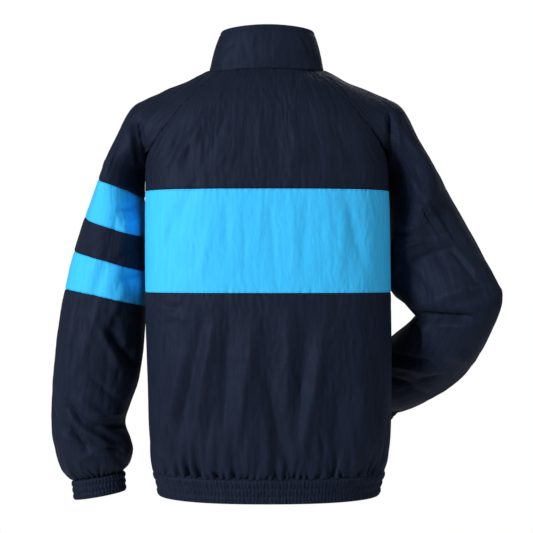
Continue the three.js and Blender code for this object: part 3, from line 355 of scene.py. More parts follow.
# Deeper folds of the hanging sleeve: by the armpit, across the stripes and above the cuff
HANGING_FOLDS = table(
    "x1 z1 x2 z2 high wide",
    (-214, -92, -206, -130, -8.0, 4.5),
    (-206, -130, -196, -186, -9.0, 5),
    (-228, -100, -222, -160, 4.0, 7),
    (-240, -110, -268, -196, -2.4, 5),
    (-250, -104, -282, -190, 2.2, 6),
    (-198, -222, -248, -240, -4.0, 5),
    (-206, -250, -240, -262, 3.0, 6),
    (-194, -340, -240, -354, -5.0, 7),
    (-222, -300, -258, -330, -2.6, 7),
    (-244, -376, -272, -442, 3.0, 8),
    (-270, -438, -224, -500, -6.5, 8),
    (-286, -430, -252, -500, 4.0, 8),
    (-316, -400, -300, -470, -2.6, 8),
    (-334, -570, -314, -598, -5.0, 5),
    (-336, -584, -310, -613, 5.0, 5.5),
    (-310, -613, -266, -640, 5.0, 5.5),
    (-337, -608, -306, -644, -6.5, 5.5),
    (-290, -604, -230, -614, -6.5, 7),
    (-300, -588, -250, -586, 3.5, 7),
    (-270, -646, -246, -652, -6.0, 4.5),
    (-256, -560, -300, -520, -2.8, 6),
)

# How far the upper arm's cloth stands out below the armpit, at what height and over what length
FULL_HIGH, FULL_Z, FULL_LONG = 3.0, -190, 40

# Wrinkles of the collar on the back's side
COLLAR_FOLDS = table(
    "x1 z1 x2 z2 high wide",
    (-83, 8, -96, -4, -3.2, 5),
    (-88, 20, -75, 5, 2.2, 6),
    (-67, 15, -60, 1, -1.6, 5),
    (-78, 26, -53, 42, -1.2, 4.5),
    (-40, 48, -34, 11, -1.0, 7),
    (-19, 51, -27, 31, 1.0, 5),
    (-14, 43, -13, 8, -0.9, 6),
    (20, 48, 12, 14, 0.9, 8),
    (55, 48, 66, 28, 1.3, 4),
    (60, 48, 75, 24, -1.4, 4),
    (45, 24, 73, 14, -1.1, 6),
    (70, -2, 75, 5, 1.6, 6),
    (83, 18, 87, -2, -3.4, 5),
    (91, 8, 96, -8, 2.0, 5),
)

# Folds round each sleeve in cloth measure: u across from the sleeve's outer line, w down from the neck
ROUND_FOLDS = table(
    "u1 w1 u2 w2 high wide",
    (-30, 210, 40, 330, 2.2, 12),
    (30, 250, 80, 360, -2.2, 11),
    (-10, 360, 20, 520, -2.4, 13),
    (50, 400, 70, 560, 2.2, 12),
    (90, 300, 130, 420, 2.4, 12),
    (120, 430, 110, 590, -2.4, 12),
    (10, 560, -20, 690, 2.6, 12),
    (60, 600, 40, 710, -2.6, 11),
    (110, 620, 90, 720, 2.2, 10),
)

# Short creases at seams: distance between them, depth, length and half width
Gather = namedtuple("Gather", "pitch deep long wide lean")
HEM_SWEEP = Gather(pitch=26, deep=5.5, long=62, wide=5.0, lean=0.12)
HEM_GATHER = Gather(pitch=16, deep=9.0, long=20, wide=2.6, lean=0.35)
HEM_NIP = Gather(pitch=7.6, deep=1.8, long=8, wide=1.8, lean=0.3)
CUFF_GATHER = Gather(pitch=12, deep=5.0, long=16, wide=2.6, lean=0.25)
SEAM_PUCKER = Gather(pitch=8.5, deep=1.15, long=8, wide=2.0, lean=0.15)

# Crinkles of the cloth: width across, length down and height of each size
Crinkle = namedtuple("Crinkle", "across down high")
CRINKLES = (Crinkle(15, 60, 1.35), Crinkle(8, 30, 1.0))

# Elastic hem and cuffs
CHANNELS = 3
RUCHE_PITCH = 5.9
RUCHE_HIGH = 1.5
CHANNEL_HIGH = 1.5
ELASTIC_THICK = 1.9
ELASTIC_GRID = 1.5
TUCK_HIGH = 3.0
TUCK_DEEP = 5.5
CUFF_LONG = 33
CUFF_TAPER = 1.2

# The stand collar
COLLAR_HALF, COLLAR_BACK, COLLAR_FRONT = 79.5, 64, 80
COLLAR_BACK_Z, COLLAR_SIDE_Z, COLLAR_FRONT_Z = 72, 67, 6
COLLAR_THICK = 1.6
COLLAR_SHIFT = 1.8
SLIDER_HIGH = 0.76

# The form of a record of what a piece of cloth was cut to, in metres and square metres; a sleeve's length goes
# all round. No piece here is given one.
Cut = namedtuple("Cut", "wide long area held")

# Sewing
STITCH_PITCH = 2.7
STITCH_LONG = 2.0
STITCH_HALF = 0.24
STITCH_INSET = 2.0


def smooth(start, end, value):
    t = np.clip((value - start) / (end - start), 0, 1)
    return t * t * (3 - 2 * t)


def vec(x, y, z):
    return np.stack(np.broadcast_arrays(x, y, z), -1).astype(float)


def size_of(v):
    return np.sqrt((v * v).sum(-1, keepdims=True))


def unit(v):
    return v / np.maximum(size_of(v), 1e-9)


def between(rows, by, at, column):
    """A smooth value between the rows of a table, at places along one of its columns."""
    x, y = rows[by], rows[column]
    at = np.clip(at, x[0], x[-1])
    i = np.searchsorted(x[1:-1], at)
    low = np.maximum(np.arange(len(x)) - 1, 0)
    high = np.minimum(np.arange(len(x)) + 1, len(x) - 1)
    slope = (y[high] - y[low]) / (x[high] - x[low])
    span = x[i + 1] - x[i]
    t = (at - x[i]) / span
    start = (2 * t**3 - 3 * t**2 + 1) * y[i] + (t**3 - 2 * t**2 + t) * span * slope[i]
    return start + (3 * t**2 - 2 * t**3) * y[i + 1] + (t**3 - t**2) * span * slope[i + 1]


# The body's surface


def oval(angle, half, depth, power):
    """Distance from the middle of an oval ring, at an angle from the centre back."""
    s = np.abs(np.sin(angle)) / half
    c = np.abs(np.cos(angle)) / depth
    return (s**power + c**power) ** (-1 / power)


def body_radius(angle, z):
    size = {name: between(BODY, "down", -z, name) for name in ("left", "right", "back", "front", "square")}
    half = np.where(np.sin(angle) < 0, size["left"], size["right"])
    at_back = np.cos(angle) > 0
    depth = np.where(at_back, size["back"], size["front"])
    return oval(angle, half, depth, np.where(at_back, size["square"], FRONT_SQUARE))


def round_point(angle, radius, z):
    return vec(radius * np.sin(angle), -radius * np.cos(angle), z)


def body_point(angle, z):
    return round_point(angle, body_radius(angle, z), z)


def neck_height(angle):
    return between(NECKLINE, "angle", np.degrees(np.abs(angle)), "z")


def neck_radius(angle):
    depth = np.where(np.cos(angle) > 0, NECK_BACK, NECK_FRONT)
    return oval(angle, NECK_HALF, depth, 2.2)


def yoke_point(angle, up):
    """A point of the body above the armpits: up is 0 at the armpits and 1 at the neck."""
    rise = np.sin(up * NECK_TURN) / math.sin(NECK_TURN)
    lean = (1 - np.cos(up * NECK_TURN)) / (1 - math.cos(NECK_TURN))
    wide = body_radius(angle, ARMPIT_Z + 0 * up)
    radius = wide + (neck_radius(angle) - wide) * lean
    return round_point(angle, radius, ARMPIT_Z + (neck_height(angle) - ARMPIT_Z) * rise)


def raglan_back(up):
    return np.radians(between(RAGLAN, "up", up, "back"))


def raglan_front(up):
    return math.pi - np.radians(between(RAGLAN, "up", up, "front"))


def shoulder_point(up, side):
    x, y, z = (between(SHOULDER, "up", up, name) for name in "xyz")
    return vec(side * x, y, z)


def zip_angle(radius):
    return math.pi - np.arcsin(ZIP_HALF / radius)


# The sleeves' surface

Ring = namedtuple("Ring", "outer inner axis back tilt deep_back deep_front")


def sleeve_edge(rings, at, side):
    return vec(*(between(rings, "ring", at, side + axis) for axis in "xyz"))


# Between which rings a sleeve's depth turns from straight back to square with the sleeve
TURN_LEFT, TURN_RIGHT = (0.8, 2.2), (0, 1.5)


def sleeve_ring(rings, at):
    """Rings of a sleeve at places counted along its table."""
    at = np.atleast_1d(np.asarray(at, float))
    ahead = np.minimum(at + 0.5, rings["ring"][-1])
    behind = np.maximum(at - 0.5, 0)
    middle = [sleeve_edge(rings, w, "o") + sleeve_edge(rings, w, "i") for w in (behind, ahead)]
    axis = unit(middle[1] - middle[0])
    outer, inner = sleeve_edge(rings, at, "o"), sleeve_edge(rings, at, "i")
    back = unit(np.cross(axis, outer - inner))
    back = back * np.where(back[:, 1:2] > 0, -1, 1)
    straight = 1 - smooth(*(TURN_LEFT if rings is SLEEVE_LEFT else TURN_RIGHT), at)[:, None]
    back = unit(back + (np.array([0, -1, 0]) - back) * straight)
    tilt = 0.1 + 0.4 * (1 - smooth(0, 2, at))
    depths = (between(rings, "ring", at, name) for name in ("back", "front"))
    return Ring(outer, inner, axis, back, tilt, *depths)


def curve(a, b, c, d, t):
    u = 1 - t
    return a * u**3 + b * (3 * u * u * t) + c * (3 * u * t * t) + d * t**3


def ring_point(ring, share):
    """Round closed rings: share 0 is the inner edge, 0.5 the outer edge, and the back comes first."""
    at_back = (share < 0.5)[None, :, None]
    t = np.where(share < 0.5, share * 2, share * 2 - 1)[None, :, None]
    outer, inner, way = (v[:, None, :] for v in (ring.outer, ring.inner, ring.back))
    deep, shallow, tilt = (v[:, None, None] for v in (ring.deep_back, ring.deep_front, ring.tilt))
    reach = (4 / 3) * np.where(at_back, deep, -shallow)
    start = np.where(at_back, inner, outer)
    end = np.where(at_back, outer, inner)
    across = unit(outer - inner) * tilt * np.abs(reach)
    first = start + way * reach + np.where(at_back, across, 0)
    second = end + way * reach + np.where(at_back, 0, across)
    return curve(start, first, second, end, t)


def raglan_point(side, rings, up, share):
    """Round raglan rows: share 0 is the back seam, 0.5 the shoulder line and 1 the front seam."""
    ring = sleeve_ring(rings, 0.0)
    up, share = up[:, None], share[None, :]
    at_back = share < 0.5
    t = np.where(at_back, share * 2, 2 - share * 2)
    seam = np.where(at_back, raglan_back(up), raglan_front(up))
    start = yoke_point(side * seam, up)
    top = shoulder_point(up, side)
    step = np.where(at_back, 0.02, -0.02)
    tangent = unit(yoke_point(side * (seam + step), up) - start)
    way = ring.back[0] * np.where(at_back, 1, -1)[..., None]
    deep = np.where(at_back, ring.deep_back[0], ring.deep_front[0])
    left = np.maximum(deep - np.abs(start[..., 1] - ring.inner[0, 1]), 0)
    across = unit(ring.outer[0] - ring.inner[0])
    turn = smooth(0.45, 1, 1 - up)[..., None]
    inward = way * (4 / 3 * left)[..., None] + across * (ring.tilt[0] * np.maximum(left, 40))[..., None]
    plain_first = tangent * (0.55 * np.abs(top[..., 0] - start[..., 0]))[..., None]
    out = vec(0, np.where(at_back, -1, 1), 0) * (0.55 * np.abs(top[..., 1] - start[..., 1]))[..., None]
    first = plain_first + (inward - plain_first) * turn
    second = out + (way * (4 / 3 * deep)[..., None] - out) * turn
    arc = curve(start, start + first, top + second, top, t[..., None])
    plain = yoke_point(side * (seam + (math.pi / 2 - seam) * t), up)
    return arc + (plain - arc) * smooth(0.6, 1, up)[..., None]


# Relief of the cloth


def noise(u, v, seed):
    """Smooth random heights, about -1 to 1, over a plane with one cell to a unit."""
    size = 128
    turns = np.random.default_rng(seed).uniform(0, 2 * math.pi, (size, size))
    i, j = np.floor(u).astype(int), np.floor(v).astype(int)
    f, g = u - i, v - j
    s, t = (k * k * k * (k * (k * 6 - 15) + 10) for k in (f, g))

    def corner(a, b):
        turn = turns[(i + a) % size, (j + b) % size]
        return np.cos(turn) * (f - a) + np.sin(turn) * (g - b)

    top = corner(0, 0) + (corner(1, 0) - corner(0, 0)) * s
    low = corner(0, 1) + (corner(1, 1) - corner(0, 1)) * s
    return 1.6 * (top + (low - top) * t)


def crinkle(u, w, seed):
    """Creases that run down the cloth, drift sideways and fade in and out."""
    drift = 9 * noise(u / 70, w / 80, seed) + 3 * noise(u / 25, w / 40, seed + 1)
    strength = np.clip(0.75 + 0.6 * noise(u / 85, w / 110, seed + 2), 0.25, 1.4)
    lift = 0
    for k, size in enumerate(CRINKLES):
        ridge = noise((u + drift) / size.across, w / size.down, seed + 3 + k)
        lift = lift + size.high * (0.42 - np.sqrt(ridge * ridge + 0.012)) * (1 + 0.3 * k)
    soft = 0.9 * noise((u + drift) / 30, w / 110, seed + 7)
    return (lift + soft) * strength


def fold_height(folds, x, z):
    """How far a table of folds lifts the cloth; each fold fades out at its ends."""
    lift = np.zeros(np.broadcast(x, z).shape)
    for x1, z1, x2, z2, high, wide in zip(*folds.values()):
        dx, dz = x2 - x1, z2 - z1
        along = np.clip(((x - x1) * dx + (z - z1) * dz) / (dx * dx + dz * dz), 0, 1)
        away = np.hypot(x - x1 - along * dx, z - z1 - along * dz) / wide
        taper = 0.35 + 0.65 * np.sin(math.pi * along) ** 0.7
        lift += FOLD_GAIN * high * taper * np.exp(-((FOLD_NARROW * away) ** 1.7))
    return lift


def gathers(u, away, kind, seed):
    """Creases that run from a seam into the cloth, each with its own place, lean, depth and length."""
    lift = np.zeros(u.shape)
    near = away < 3.2 * kind.long
    if not near.any():
        return lift
    rng = np.random.default_rng(seed)
    low, high = u[near].min(), u[near].max()
    count = max(int((high - low) / kind.pitch), 1)
    places = low + (np.arange(count) + 0.5 + rng.uniform(-0.38, 0.38, count)) * (high - low) / count
    leans = rng.normal(0, kind.lean, count)
    deeps = kind.deep * rng.uniform(0.45, 1.3, count)
    longs = kind.long * rng.uniform(0.5, 1.6, count)
    un, an = u[near], away[near]
    total = np.zeros(un.shape)
    for place, lean, deep, long in zip(places, leans, deeps, longs):
        wide = kind.wide * (1 + 0.9 * an / long)
        total -= deep * np.exp(-(((un - place - lean * an) / wide) ** 2) - (an / long) ** 1.6)
    lift[near] = total
    return lift


# Grids of cloth points

Grid = namedtuple("Grid", "points u w normal edges")


def step_lengths(length, step):
    """Places along a length, an even step apart, with closer ones at both ends for the rolled seams."""
    inner = EDGE_STEPS[-1]
    count = max(int(round((length - 2 * inner) / step)), 2)
    middle = np.linspace(inner, length - inner, count + 1)[1:-1]
    start = np.array(EDGE_STEPS, float)
    return np.concatenate([start, middle, length - start[::-1]])


def walk(points, axis):
    """Distance along a grid's rows or columns from their start."""
    step = np.linalg.norm(np.diff(points, axis=axis), axis=-1)
    start = np.zeros_like(np.take(step, [0], axis=axis))
    return np.concatenate([start, np.cumsum(step, axis=axis)], axis=axis)


def normals(points):
    down = np.gradient(points, axis=0)
    across = np.gradient(points, axis=1)
    return unit(np.cross(down, across))


def tube_normals(points):
    """Normals of a grid whose last column meets its first."""
    wrapped = np.concatenate([points[:, -3:-1], points, points[:, 1:3]], axis=1)
    return normals(wrapped)[:, 2:-2]


def make_grid(points, u, w, tube=False):
    down, across = walk(points, 0), walk(points, 1)
    edges = {"top": down, "low": down[-1:] - down, "left": across, "right": across[:, -1:] - across}
    normal = tube_normals(points) if tube else normals(points)
    return Grid(points, np.broadcast_to(u, down.shape), np.broadcast_to(w, down.shape), normal, edges)


def body_steps(start, end, step):
    """Angles an even distance apart on the body, and the places of their columns along it."""
    angles = np.linspace(start, end, 2400)
    length = walk(body_point(angles, np.full_like(angles, -300.0))[None], 1)[0]
    places = step_lengths(length[-1], step)
    return (np.interp(places, length, angles) - start) / (end - start), places


BACK_SHARES, BACK_PLACES = body_steps(-math.pi / 2, math.pi / 2, GRID_FINE)
FRONT_SHARES, FRONT_PLACES = body_steps(math.pi / 2, math.pi - 0.055, GRID_PLAIN)
BACK_HALF = BACK_PLACES[-1] / 2


def back_grid(heights):
    """Part of the back below the armpits, one row to a height."""
    angle = (2 * BACK_SHARES - 1) * math.pi / 2
    points = body_point(angle[None, :], heights[:, None])
    return make_grid(points, BACK_PLACES - BACK_HALF, -heights[:, None])


def yoke_ups(step):
    places = step_lengths(YOKE_LONG, step)
    return 1 - places[: -len(EDGE_STEPS)] / YOKE_LONG


def heights_between(top, low, step):
    return top - step_lengths(top - low, step)


def straight_across(points, across, sign):
    """Measure across the cloth that stays the same straight up and down, where the columns lean in."""
    return across + sign * (points[..., 0] - points[-1:, :, 0])


def yoke_grid():
    ups = yoke_ups(GRID_FINE)
    heights = heights_between(ARMPIT_Z, BAND_TOP_Z, GRID_FINE)
    turn = (2 * BACK_SHARES - 1)[None, :]
    upper = yoke_point(turn * raglan_back(ups)[:, None], ups[:, None])
    lower = body_point(turn * math.pi / 2, heights[:, None])
    down = np.concatenate([(1 - ups) * YOKE_LONG - YOKE_LONG - ARMPIT_Z, -heights])
    points = np.concatenate([upper, lower])
    return make_grid(points, straight_across(points, BACK_PLACES - BACK_HALF, 1), down[:, None])


def front_grid(side):
    """One front from the neck to the hem; its columns run from the side seam to the zip."""
    ups = yoke_ups(GRID_PLAIN)
    heights = heights_between(ARMPIT_Z, HEM_SEAM_Z, GRID_PLAIN)

    def angles(start, radius):
        return start + (zip_angle(radius) - start) * FRONT_SHARES[None, :]

    middle = yoke_point(math.pi, ups)[:, 1]
    upper = yoke_point(side * angles(raglan_front(ups)[:, None], middle[:, None]), ups[:, None])
    radius = between(BODY, "down", -heights, "front")
    lower = body_point(side * angles(math.pi / 2, radius[:, None]), heights[:, None])
    down = np.concatenate([(1 - ups) * YOKE_LONG - YOKE_LONG - ARMPIT_Z, -heights])
    points = np.concatenate([upper, lower])
    across = BACK_HALF + FRONT_PLACES
    if side < 0:
        points, across = points[:, ::-1], -across[::-1]
    return make_grid(points, straight_across(points, across, -1), down[:, None])


SLEEVE_ROUND = 460
RAGLAN_LONG = 215


def sleeve_shares(step):
    places = step_lengths(SLEEVE_ROUND, step)
    return places / SLEEVE_ROUND


def sleeve_places(rings, start, end, step):
    """Places along the sleeve from one ring to another, about a step apart, and their distances."""
    fine = np.linspace(start, end, 200)
    line = sleeve_edge(rings, fine, "o") + sleeve_edge(rings, fine, "i")
    length = walk(line[None] / 2, 1)[0]
    places = step_lengths(length[-1], step)
    return np.interp(places, length, fine), places


# The rounding where the raglan part meets the first ring: over what length, how soft, how far from the seams
ROUND_LONG, ROUND_SOFT, ROUND_SIDE = 42, 20, 34


def rounded(points, w, down, share):
    """The sleeve's rows of points, eased over the turn at a distance down from the neck."""
    weights = np.exp(-(((w[None, :] - w[:, None]) / ROUND_SOFT) ** 2)) * np.gradient(w)[None, :]
    weights /= weights.sum(axis=1, keepdims=True)
    eased = np.tensordot(weights, points, axes=(1, 0))
    near = (np.exp(-(((w - down) / ROUND_LONG) ** 2)) * smooth(0, ROUND_SIDE, w[-1] - w))[:, None, None]
    inside = smooth(0, ROUND_SIDE, (0.5 - np.abs(share - 0.5)) * SLEEVE_ROUND)[None, :, None]
    return points + (eased - points) * near * inside


def sleeve_grid(side, rings, start, end, down, with_raglan=False):
    """A length of sleeve from ring start to ring end; down is how far its top is from the neck."""
    share = sleeve_shares(GRID_PLAIN)
    at, distance = sleeve_places(rings, start, end, GRID_PLAIN)
    points = ring_point(sleeve_ring(rings, at), share)
    w = down + distance
    if with_raglan:
        places = step_lengths(RAGLAN_LONG, GRID_PLAIN)[: -len(EDGE_STEPS)]
        upper = raglan_point(side, rings, 1 - places / RAGLAN_LONG, share)
        points = np.concatenate([upper, points])
        w = np.concatenate([places, w])
        points = rounded(points, w, down, share)
    u = (share - 0.5) * SLEEVE_ROUND
    if side < 0:
        points, u = points[:, ::-1], u[::-1]
    grid = make_grid(points, u, w[:, None], tube=not with_raglan)
    if with_raglan:
        closed = tube_normals(points[len(upper):])
        grid.normal[len(upper) + 2:] = closed[2:]
    return grid


# How each kind of cloth is shaped


def side_folds(grid, creases):
    """Folds of the back and the front, by the way the cloth faces; they fade at the neck and the zip."""
    x, z = grid.points[..., 0], grid.points[..., 2]
    facing = grid.normal[..., 1]
    back = smooth(0.15, 0.75, -facing)
    front = smooth(0.15, 0.75, facing) * smooth(14, 40, np.abs(x))
    lift = (fold_height(BACK_FOLDS, x, z) + fold_height(creases, x, z)) * back
    lift += fold_height(FRONT_FOLDS, x, z) * front
    loose = smooth(4, 55, np.hypot(x, grid.points[..., 1]) - 88) if z.max() > -60 else 1
    return lift * np.where(z > -70, loose, 1)


def arm_folds(grid, folds):
    """Deep folds on a sleeve's back side, and the fullness of the upper arm below the armpit."""
    x, z = grid.points[..., 0], grid.points[..., 2]
    full = FULL_HIGH * np.exp(-(((z - FULL_Z) / FULL_LONG) ** 2))
    return (fold_height(folds, x, z) + full) * smooth(0.1, 0.6, -grid.normal[..., 1])


def seam_dips(grid, names):
    lift = np.zeros(grid.u.shape)
    for name in names:
        lift -= SEAM_DEEP * np.exp(-((grid.edges[name] / SEAM_WIDE) ** 2))
    return lift


def puckers(grid, names, seed, kind=SEAM_PUCKER):
    lift = np.zeros(grid.u.shape)
    for k, name in enumerate(names):
        lines = grid.u if name in ("top", "low") else grid.w
        lift += gathers(lines, grid.edges[name], kind, seed + 17 * k)
    return lift


def body_crinkle(grid, seed):
    """Crinkles of a body panel, calmer at the sides where the sleeves lie against it."""
    calm = 1 - 0.6 * smooth(0.75, 0.97, np.abs(grid.normal[..., 0]))
    return crinkle(grid.u, grid.w, seed) * calm


def sleeve_crinkle(grid, seed):
    """Crinkles of a sleeve, pressed in where it lies against the body."""
    inner = smooth(0.78, 0.98, np.abs(grid.u) / (SLEEVE_ROUND / 2)) * smooth(180, 215, grid.w)
    lift = crinkle(grid.u * 0.9, grid.w, seed) + fold_height(ROUND_FOLDS, grid.u, grid.w)
    return lift * (1 - 0.75 * inner) - 0.7 * inner


# Meshes


def grid_faces(rows, columns):
    """Faces of a thin shell with an outer and an inner grid, closed round its four edges."""
    index = np.arange(rows * columns).reshape(rows, columns)
    inside = index + rows * columns

    def quads(a, b, c, d):
        return np.stack([a.ravel(), b.ravel(), c.ravel(), d.ravel()], 1)

    a, b, c, d = index[:-1, :-1], index[1:, :-1], index[1:, 1:], index[:-1, 1:]
    faces = [quads(a, b, c, d), quads(*(k + rows * columns for k in (a, d, c, b)))]
    for line, inner, turn in (
        (index[0], inside[0], 1),
        (index[-1], inside[-1], -1),
        (index[:, 0], inside[:, 0], -1),
        (index[:, -1], inside[:, -1], 1),
    ):
        o, i = line[::turn], inner[::turn]
        faces.append(quads(o[:-1], o[1:], i[1:], i[:-1]))
    return np.concatenate(faces)


def new_mesh(name, points, faces, uv=None):
    """A smooth mesh object from points in millimetres and faces of one length."""
    mesh = bpy.data.meshes.new(name)
    corners = faces.shape[1]
    mesh.vertices.add(len(points))
    mesh.vertices.foreach_set("co", (points * MM).astype(np.float32).ravel())
    mesh.loops.add(faces.size)
    mesh.loops.foreach_set("vertex_index", faces.astype(np.int32).ravel())
    mesh.polygons.add(len(faces))
    mesh.polygons.foreach_set("loop_start", np.arange(0, faces.size, corners, dtype=np.int32))
    mesh.polygons.foreach_set("use_smooth", np.ones(len(faces), bool))
    if uv is not None:
        layer = mesh.uv_layers.new(name="Cloth")
        layer.uv.foreach_set("vector", (uv[faces.ravel()] * MM).astype(np.float32).ravel())
    mesh.update(calc_edges=True)
    mesh.validate()
    obj = bpy.data.objects.new(name, mesh)
    bpy.context.scene.collection.objects.link(obj)
    return obj


Panel = namedtuple("Panel", "obj outer normal grid")


def trimmed(points):
    """The grid with its edges drawn back from the seams."""
    points = points.copy()
    for side in (0, -1):
        step = 1 if side == 0 else -2
        points[side] += unit(points[step] - points[side]) * EDGE_BACK
        points[:, side] += unit(points[:, step] - points[:, side]) * EDGE_BACK
    return points


def sew_panel(name, grid, lift, material, nodes, thick=CLOTH):
    """A thin shell of cloth over a grid, lifted along its normals, in place of CAD nodes."""
    outer = trimmed(grid.points + grid.normal * lift[..., None])
    inner = outer - grid.normal * thick
    rows, columns = lift.shape
    points = np.concatenate([outer.reshape(-1, 3), inner.reshape(-1, 3)])
    uv = np.stack([grid.u, grid.w], -1).reshape(-1, 2)
    obj = new_mesh("cloth_" + name, points, grid_faces(rows, columns), np.concatenate([uv, uv]))
    obj.data.materials.append(material)
    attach(obj, "garment")
    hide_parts(*nodes)
    return Panel(obj, outer, grid.normal, grid)


# Materials


def add_node(tree, kind, **inputs):
    node = tree.nodes.new(kind)
    for name, value in inputs.items():
        node.inputs[name.replace("_", " ")].default_value = value
    return node


def noise_node(tree, source, size, detail=3.0, rough=0.5):
    """Noise with cells of a given width and length in millimetres."""
    place = tree.nodes.new("ShaderNodeMapping")
    place.inputs["Scale"].default_value = tuple(1 / (s * MM) for s in size)
    tree.links.new(source, place.inputs["Vector"])
    node = add_node(tree, "ShaderNodeTexNoise", Scale=1.0, Detail=detail, Roughness=rough)
    tree.links.new(place.outputs["Vector"], node.inputs["Vector"])
    return node.outputs["Fac"]


def bump(tree, height, deep, under=None):
    node = add_node(tree, "ShaderNodeBump", Strength=1.0, Distance=deep * MM)
    tree.links.new(height, node.inputs["Height"])
    if under is not None:
        tree.links.new(under, node.inputs["Normal"])
    return node.outputs["Normal"]


def weave_height(tree, source, pitch):
    """A plain weave: two sets of threads across each other."""
    place = tree.nodes.new("ShaderNodeMapping")
    place.inputs["Scale"].default_value = (1 / (pitch * MM),) * 3
    tree.links.new(source, place.inputs["Vector"])
    heights = []
    for direction in ("X", "Y"):
        wave = add_node(tree, "ShaderNodeTexWave", Scale=2 * math.pi / 20, Distortion=0.6)
        wave.bands_direction = direction
        tree.links.new(place.outputs["Vector"], wave.inputs["Vector"])
        heights.append(wave.outputs["Fac"])
    both = tree.nodes.new("ShaderNodeMath")
    both.operation = "ADD"
    tree.links.new(heights[0], both.inputs[0])
    tree.links.new(heights[1], both.inputs[1])
    return both.outputs["Value"]


def ramp(tree, value, low, high, colours):
    node = tree.nodes.new("ShaderNodeValToRGB")
    node.color_ramp.elements[0].position = low
    node.color_ramp.elements[1].position = high
    for element, colour in zip(node.color_ramp.elements, colours):
        element.color = (*colour, 1)
    tree.links.new(value, node.inputs["Fac"])
    return node.outputs["Color"]


def scaled(colour, share):
    return tuple(c * share for c in colour)


def new_material(name):
    material = bpy.data.materials.new(name)
    material.use_nodes = True
    tree = material.node_tree
    return material, tree, tree.nodes["Principled BSDF"]


# Look: base colour; low and high, the range of the streaks of base colour, partly painted crinkle shade and
# partly random tone; roughness range, specular, specular tint and crinkle depth.
Look = namedtuple("Look", "colour low high rough specular tint crinkle")
NAVY = Look((0.0085, 0.0122, 0.0250), 0.72, 1.25, (0.50, 0.62), 0.11, (0.50, 0.64, 1, 1), 1.0)
BLUE = Look((0.040, 0.48, 0.90), 0.92, 1.06, (0.50, 0.60), 0.16, (0.7, 0.9, 1, 1), 0.9)
ELASTIC = Look((0.0085, 0.0122, 0.0250), 0.72, 1.25, (0.50, 0.62), 0.11, (0.50, 0.64, 1, 1), 0.45)


def nylon(name, look):
    """Crinkled nylon: base colour in long streaks down the cloth, partly random tone and partly painted shade
    of the crinkles, fine creases and a fine weave.
    """
    material, tree, shader = new_material(name)
    cloth = tree.nodes.new("ShaderNodeUVMap")
    cloth.uv_map = "Cloth"
    at = cloth.outputs["UV"]
    # Painted shade: the base colour runs darker and lighter in long streaks down the cloth, partly in place of
    # the crinkles' shade and partly as random tone.
    tone_and_shade_streaks = noise_node(tree, at, (7, 60, 1), 4, 0.6)
    colours = (scaled(look.colour, look.low), scaled(look.colour, look.high))
    tree.links.new(ramp(tree, tone_and_shade_streaks, 0.25, 0.75, colours), shader.inputs["Base Color"])
    patches = noise_node(tree, at, (22, 40, 1), 2)
    greys = tuple((r, r, r) for r in look.rough)
    tree.links.new(ramp(tree, patches, 0.3, 0.7, greys), shader.inputs["Roughness"])
    creases = bump(tree, noise_node(tree, at, (6.5, 20, 1), 3, 0.5), 0.9 * look.crinkle)
    fine = bump(tree, noise_node(tree, at, (2.2, 5, 1), 2, 0.5), 0.12, creases)
    woven = bump(tree, weave_height(tree, at, 0.55), 0.03, fine)
    tree.links.new(woven, shader.inputs["Normal"])
    shader.inputs["Specular IOR Level"].default_value = look.specular
    shader.inputs["Specular Tint"].default_value = look.tint
    shader.inputs["Sheen Weight"].default_value = 0.02
    shader.inputs["Sheen Roughness"].default_value = 0.5
    shader.inputs["Sheen Tint"].default_value = look.tint
    return material


def thread(name, colour):
    """Spun thread: a fine twist along each stitch."""
    material, tree, shader = new_material(name)
    at = tree.nodes.new("ShaderNodeTexCoord").outputs["Object"]
    tone = noise_node(tree, at, (0.7, 0.7, 0.7), 2)
    colours = (scaled(colour, 0.7), scaled(colour, 1.2))
    tree.links.new(ramp(tree, tone, 0.3, 0.7, colours), shader.inputs["Base Color"])
    tree.links.new(bump(tree, noise_node(tree, at, (0.3, 0.3, 0.3), 2), 0.05), shader.inputs["Normal"])
    shader.inputs["Roughness"].default_value = 0.55
    shader.inputs["Specular IOR Level"].default_value = 0.2
    return material


def lacquer(name, colour):
    """Dark satin metal with faint scuffs."""
    material, tree, shader = new_material(name)
    at = tree.nodes.new("ShaderNodeTexCoord").outputs["Object"]
    tone = noise_node(tree, at, (3, 3, 3), 4, 0.65)
    colours = (scaled(colour, 0.8), scaled(colour, 1.5))
    tree.links.new(ramp(tree, tone, 0.35, 0.75, colours), shader.inputs["Base Color"])
    scuffs = noise_node(tree, at, (0.8, 0.8, 5), 4, 0.6)
    tree.links.new(ramp(tree, scuffs, 0.3, 0.7, ((0.26,) * 3, (0.42,) * 3)), shader.inputs["Roughness"])
    tree.links.new(bump(tree, scuffs, 0.04), shader.inputs["Normal"])
    shader.inputs["Metallic"].default_value = 0.75
    return material


def woven_tape(name, colour):
    """Zip tape: a tight rib along the tape."""
    material, tree, shader = new_material(name)
    at = tree.nodes.new("ShaderNodeTexCoord").outputs["Object"]
    tone = noise_node(tree, at, (1.5, 1.5, 6), 3)
    colours = (scaled(colour, 0.75), scaled(colour, 1.25))
    tree.links.new(ramp(tree, tone, 0.3, 0.7, colours), shader.inputs["Base Color"])
    tree.links.new(bump(tree, weave_height(tree, at, 0.7), 0.12), shader.inputs["Normal"])
    shader.inputs["Roughness"].default_value = 0.7
    shader.inputs["Specular IOR Level"].default_value = 0.15
    return material


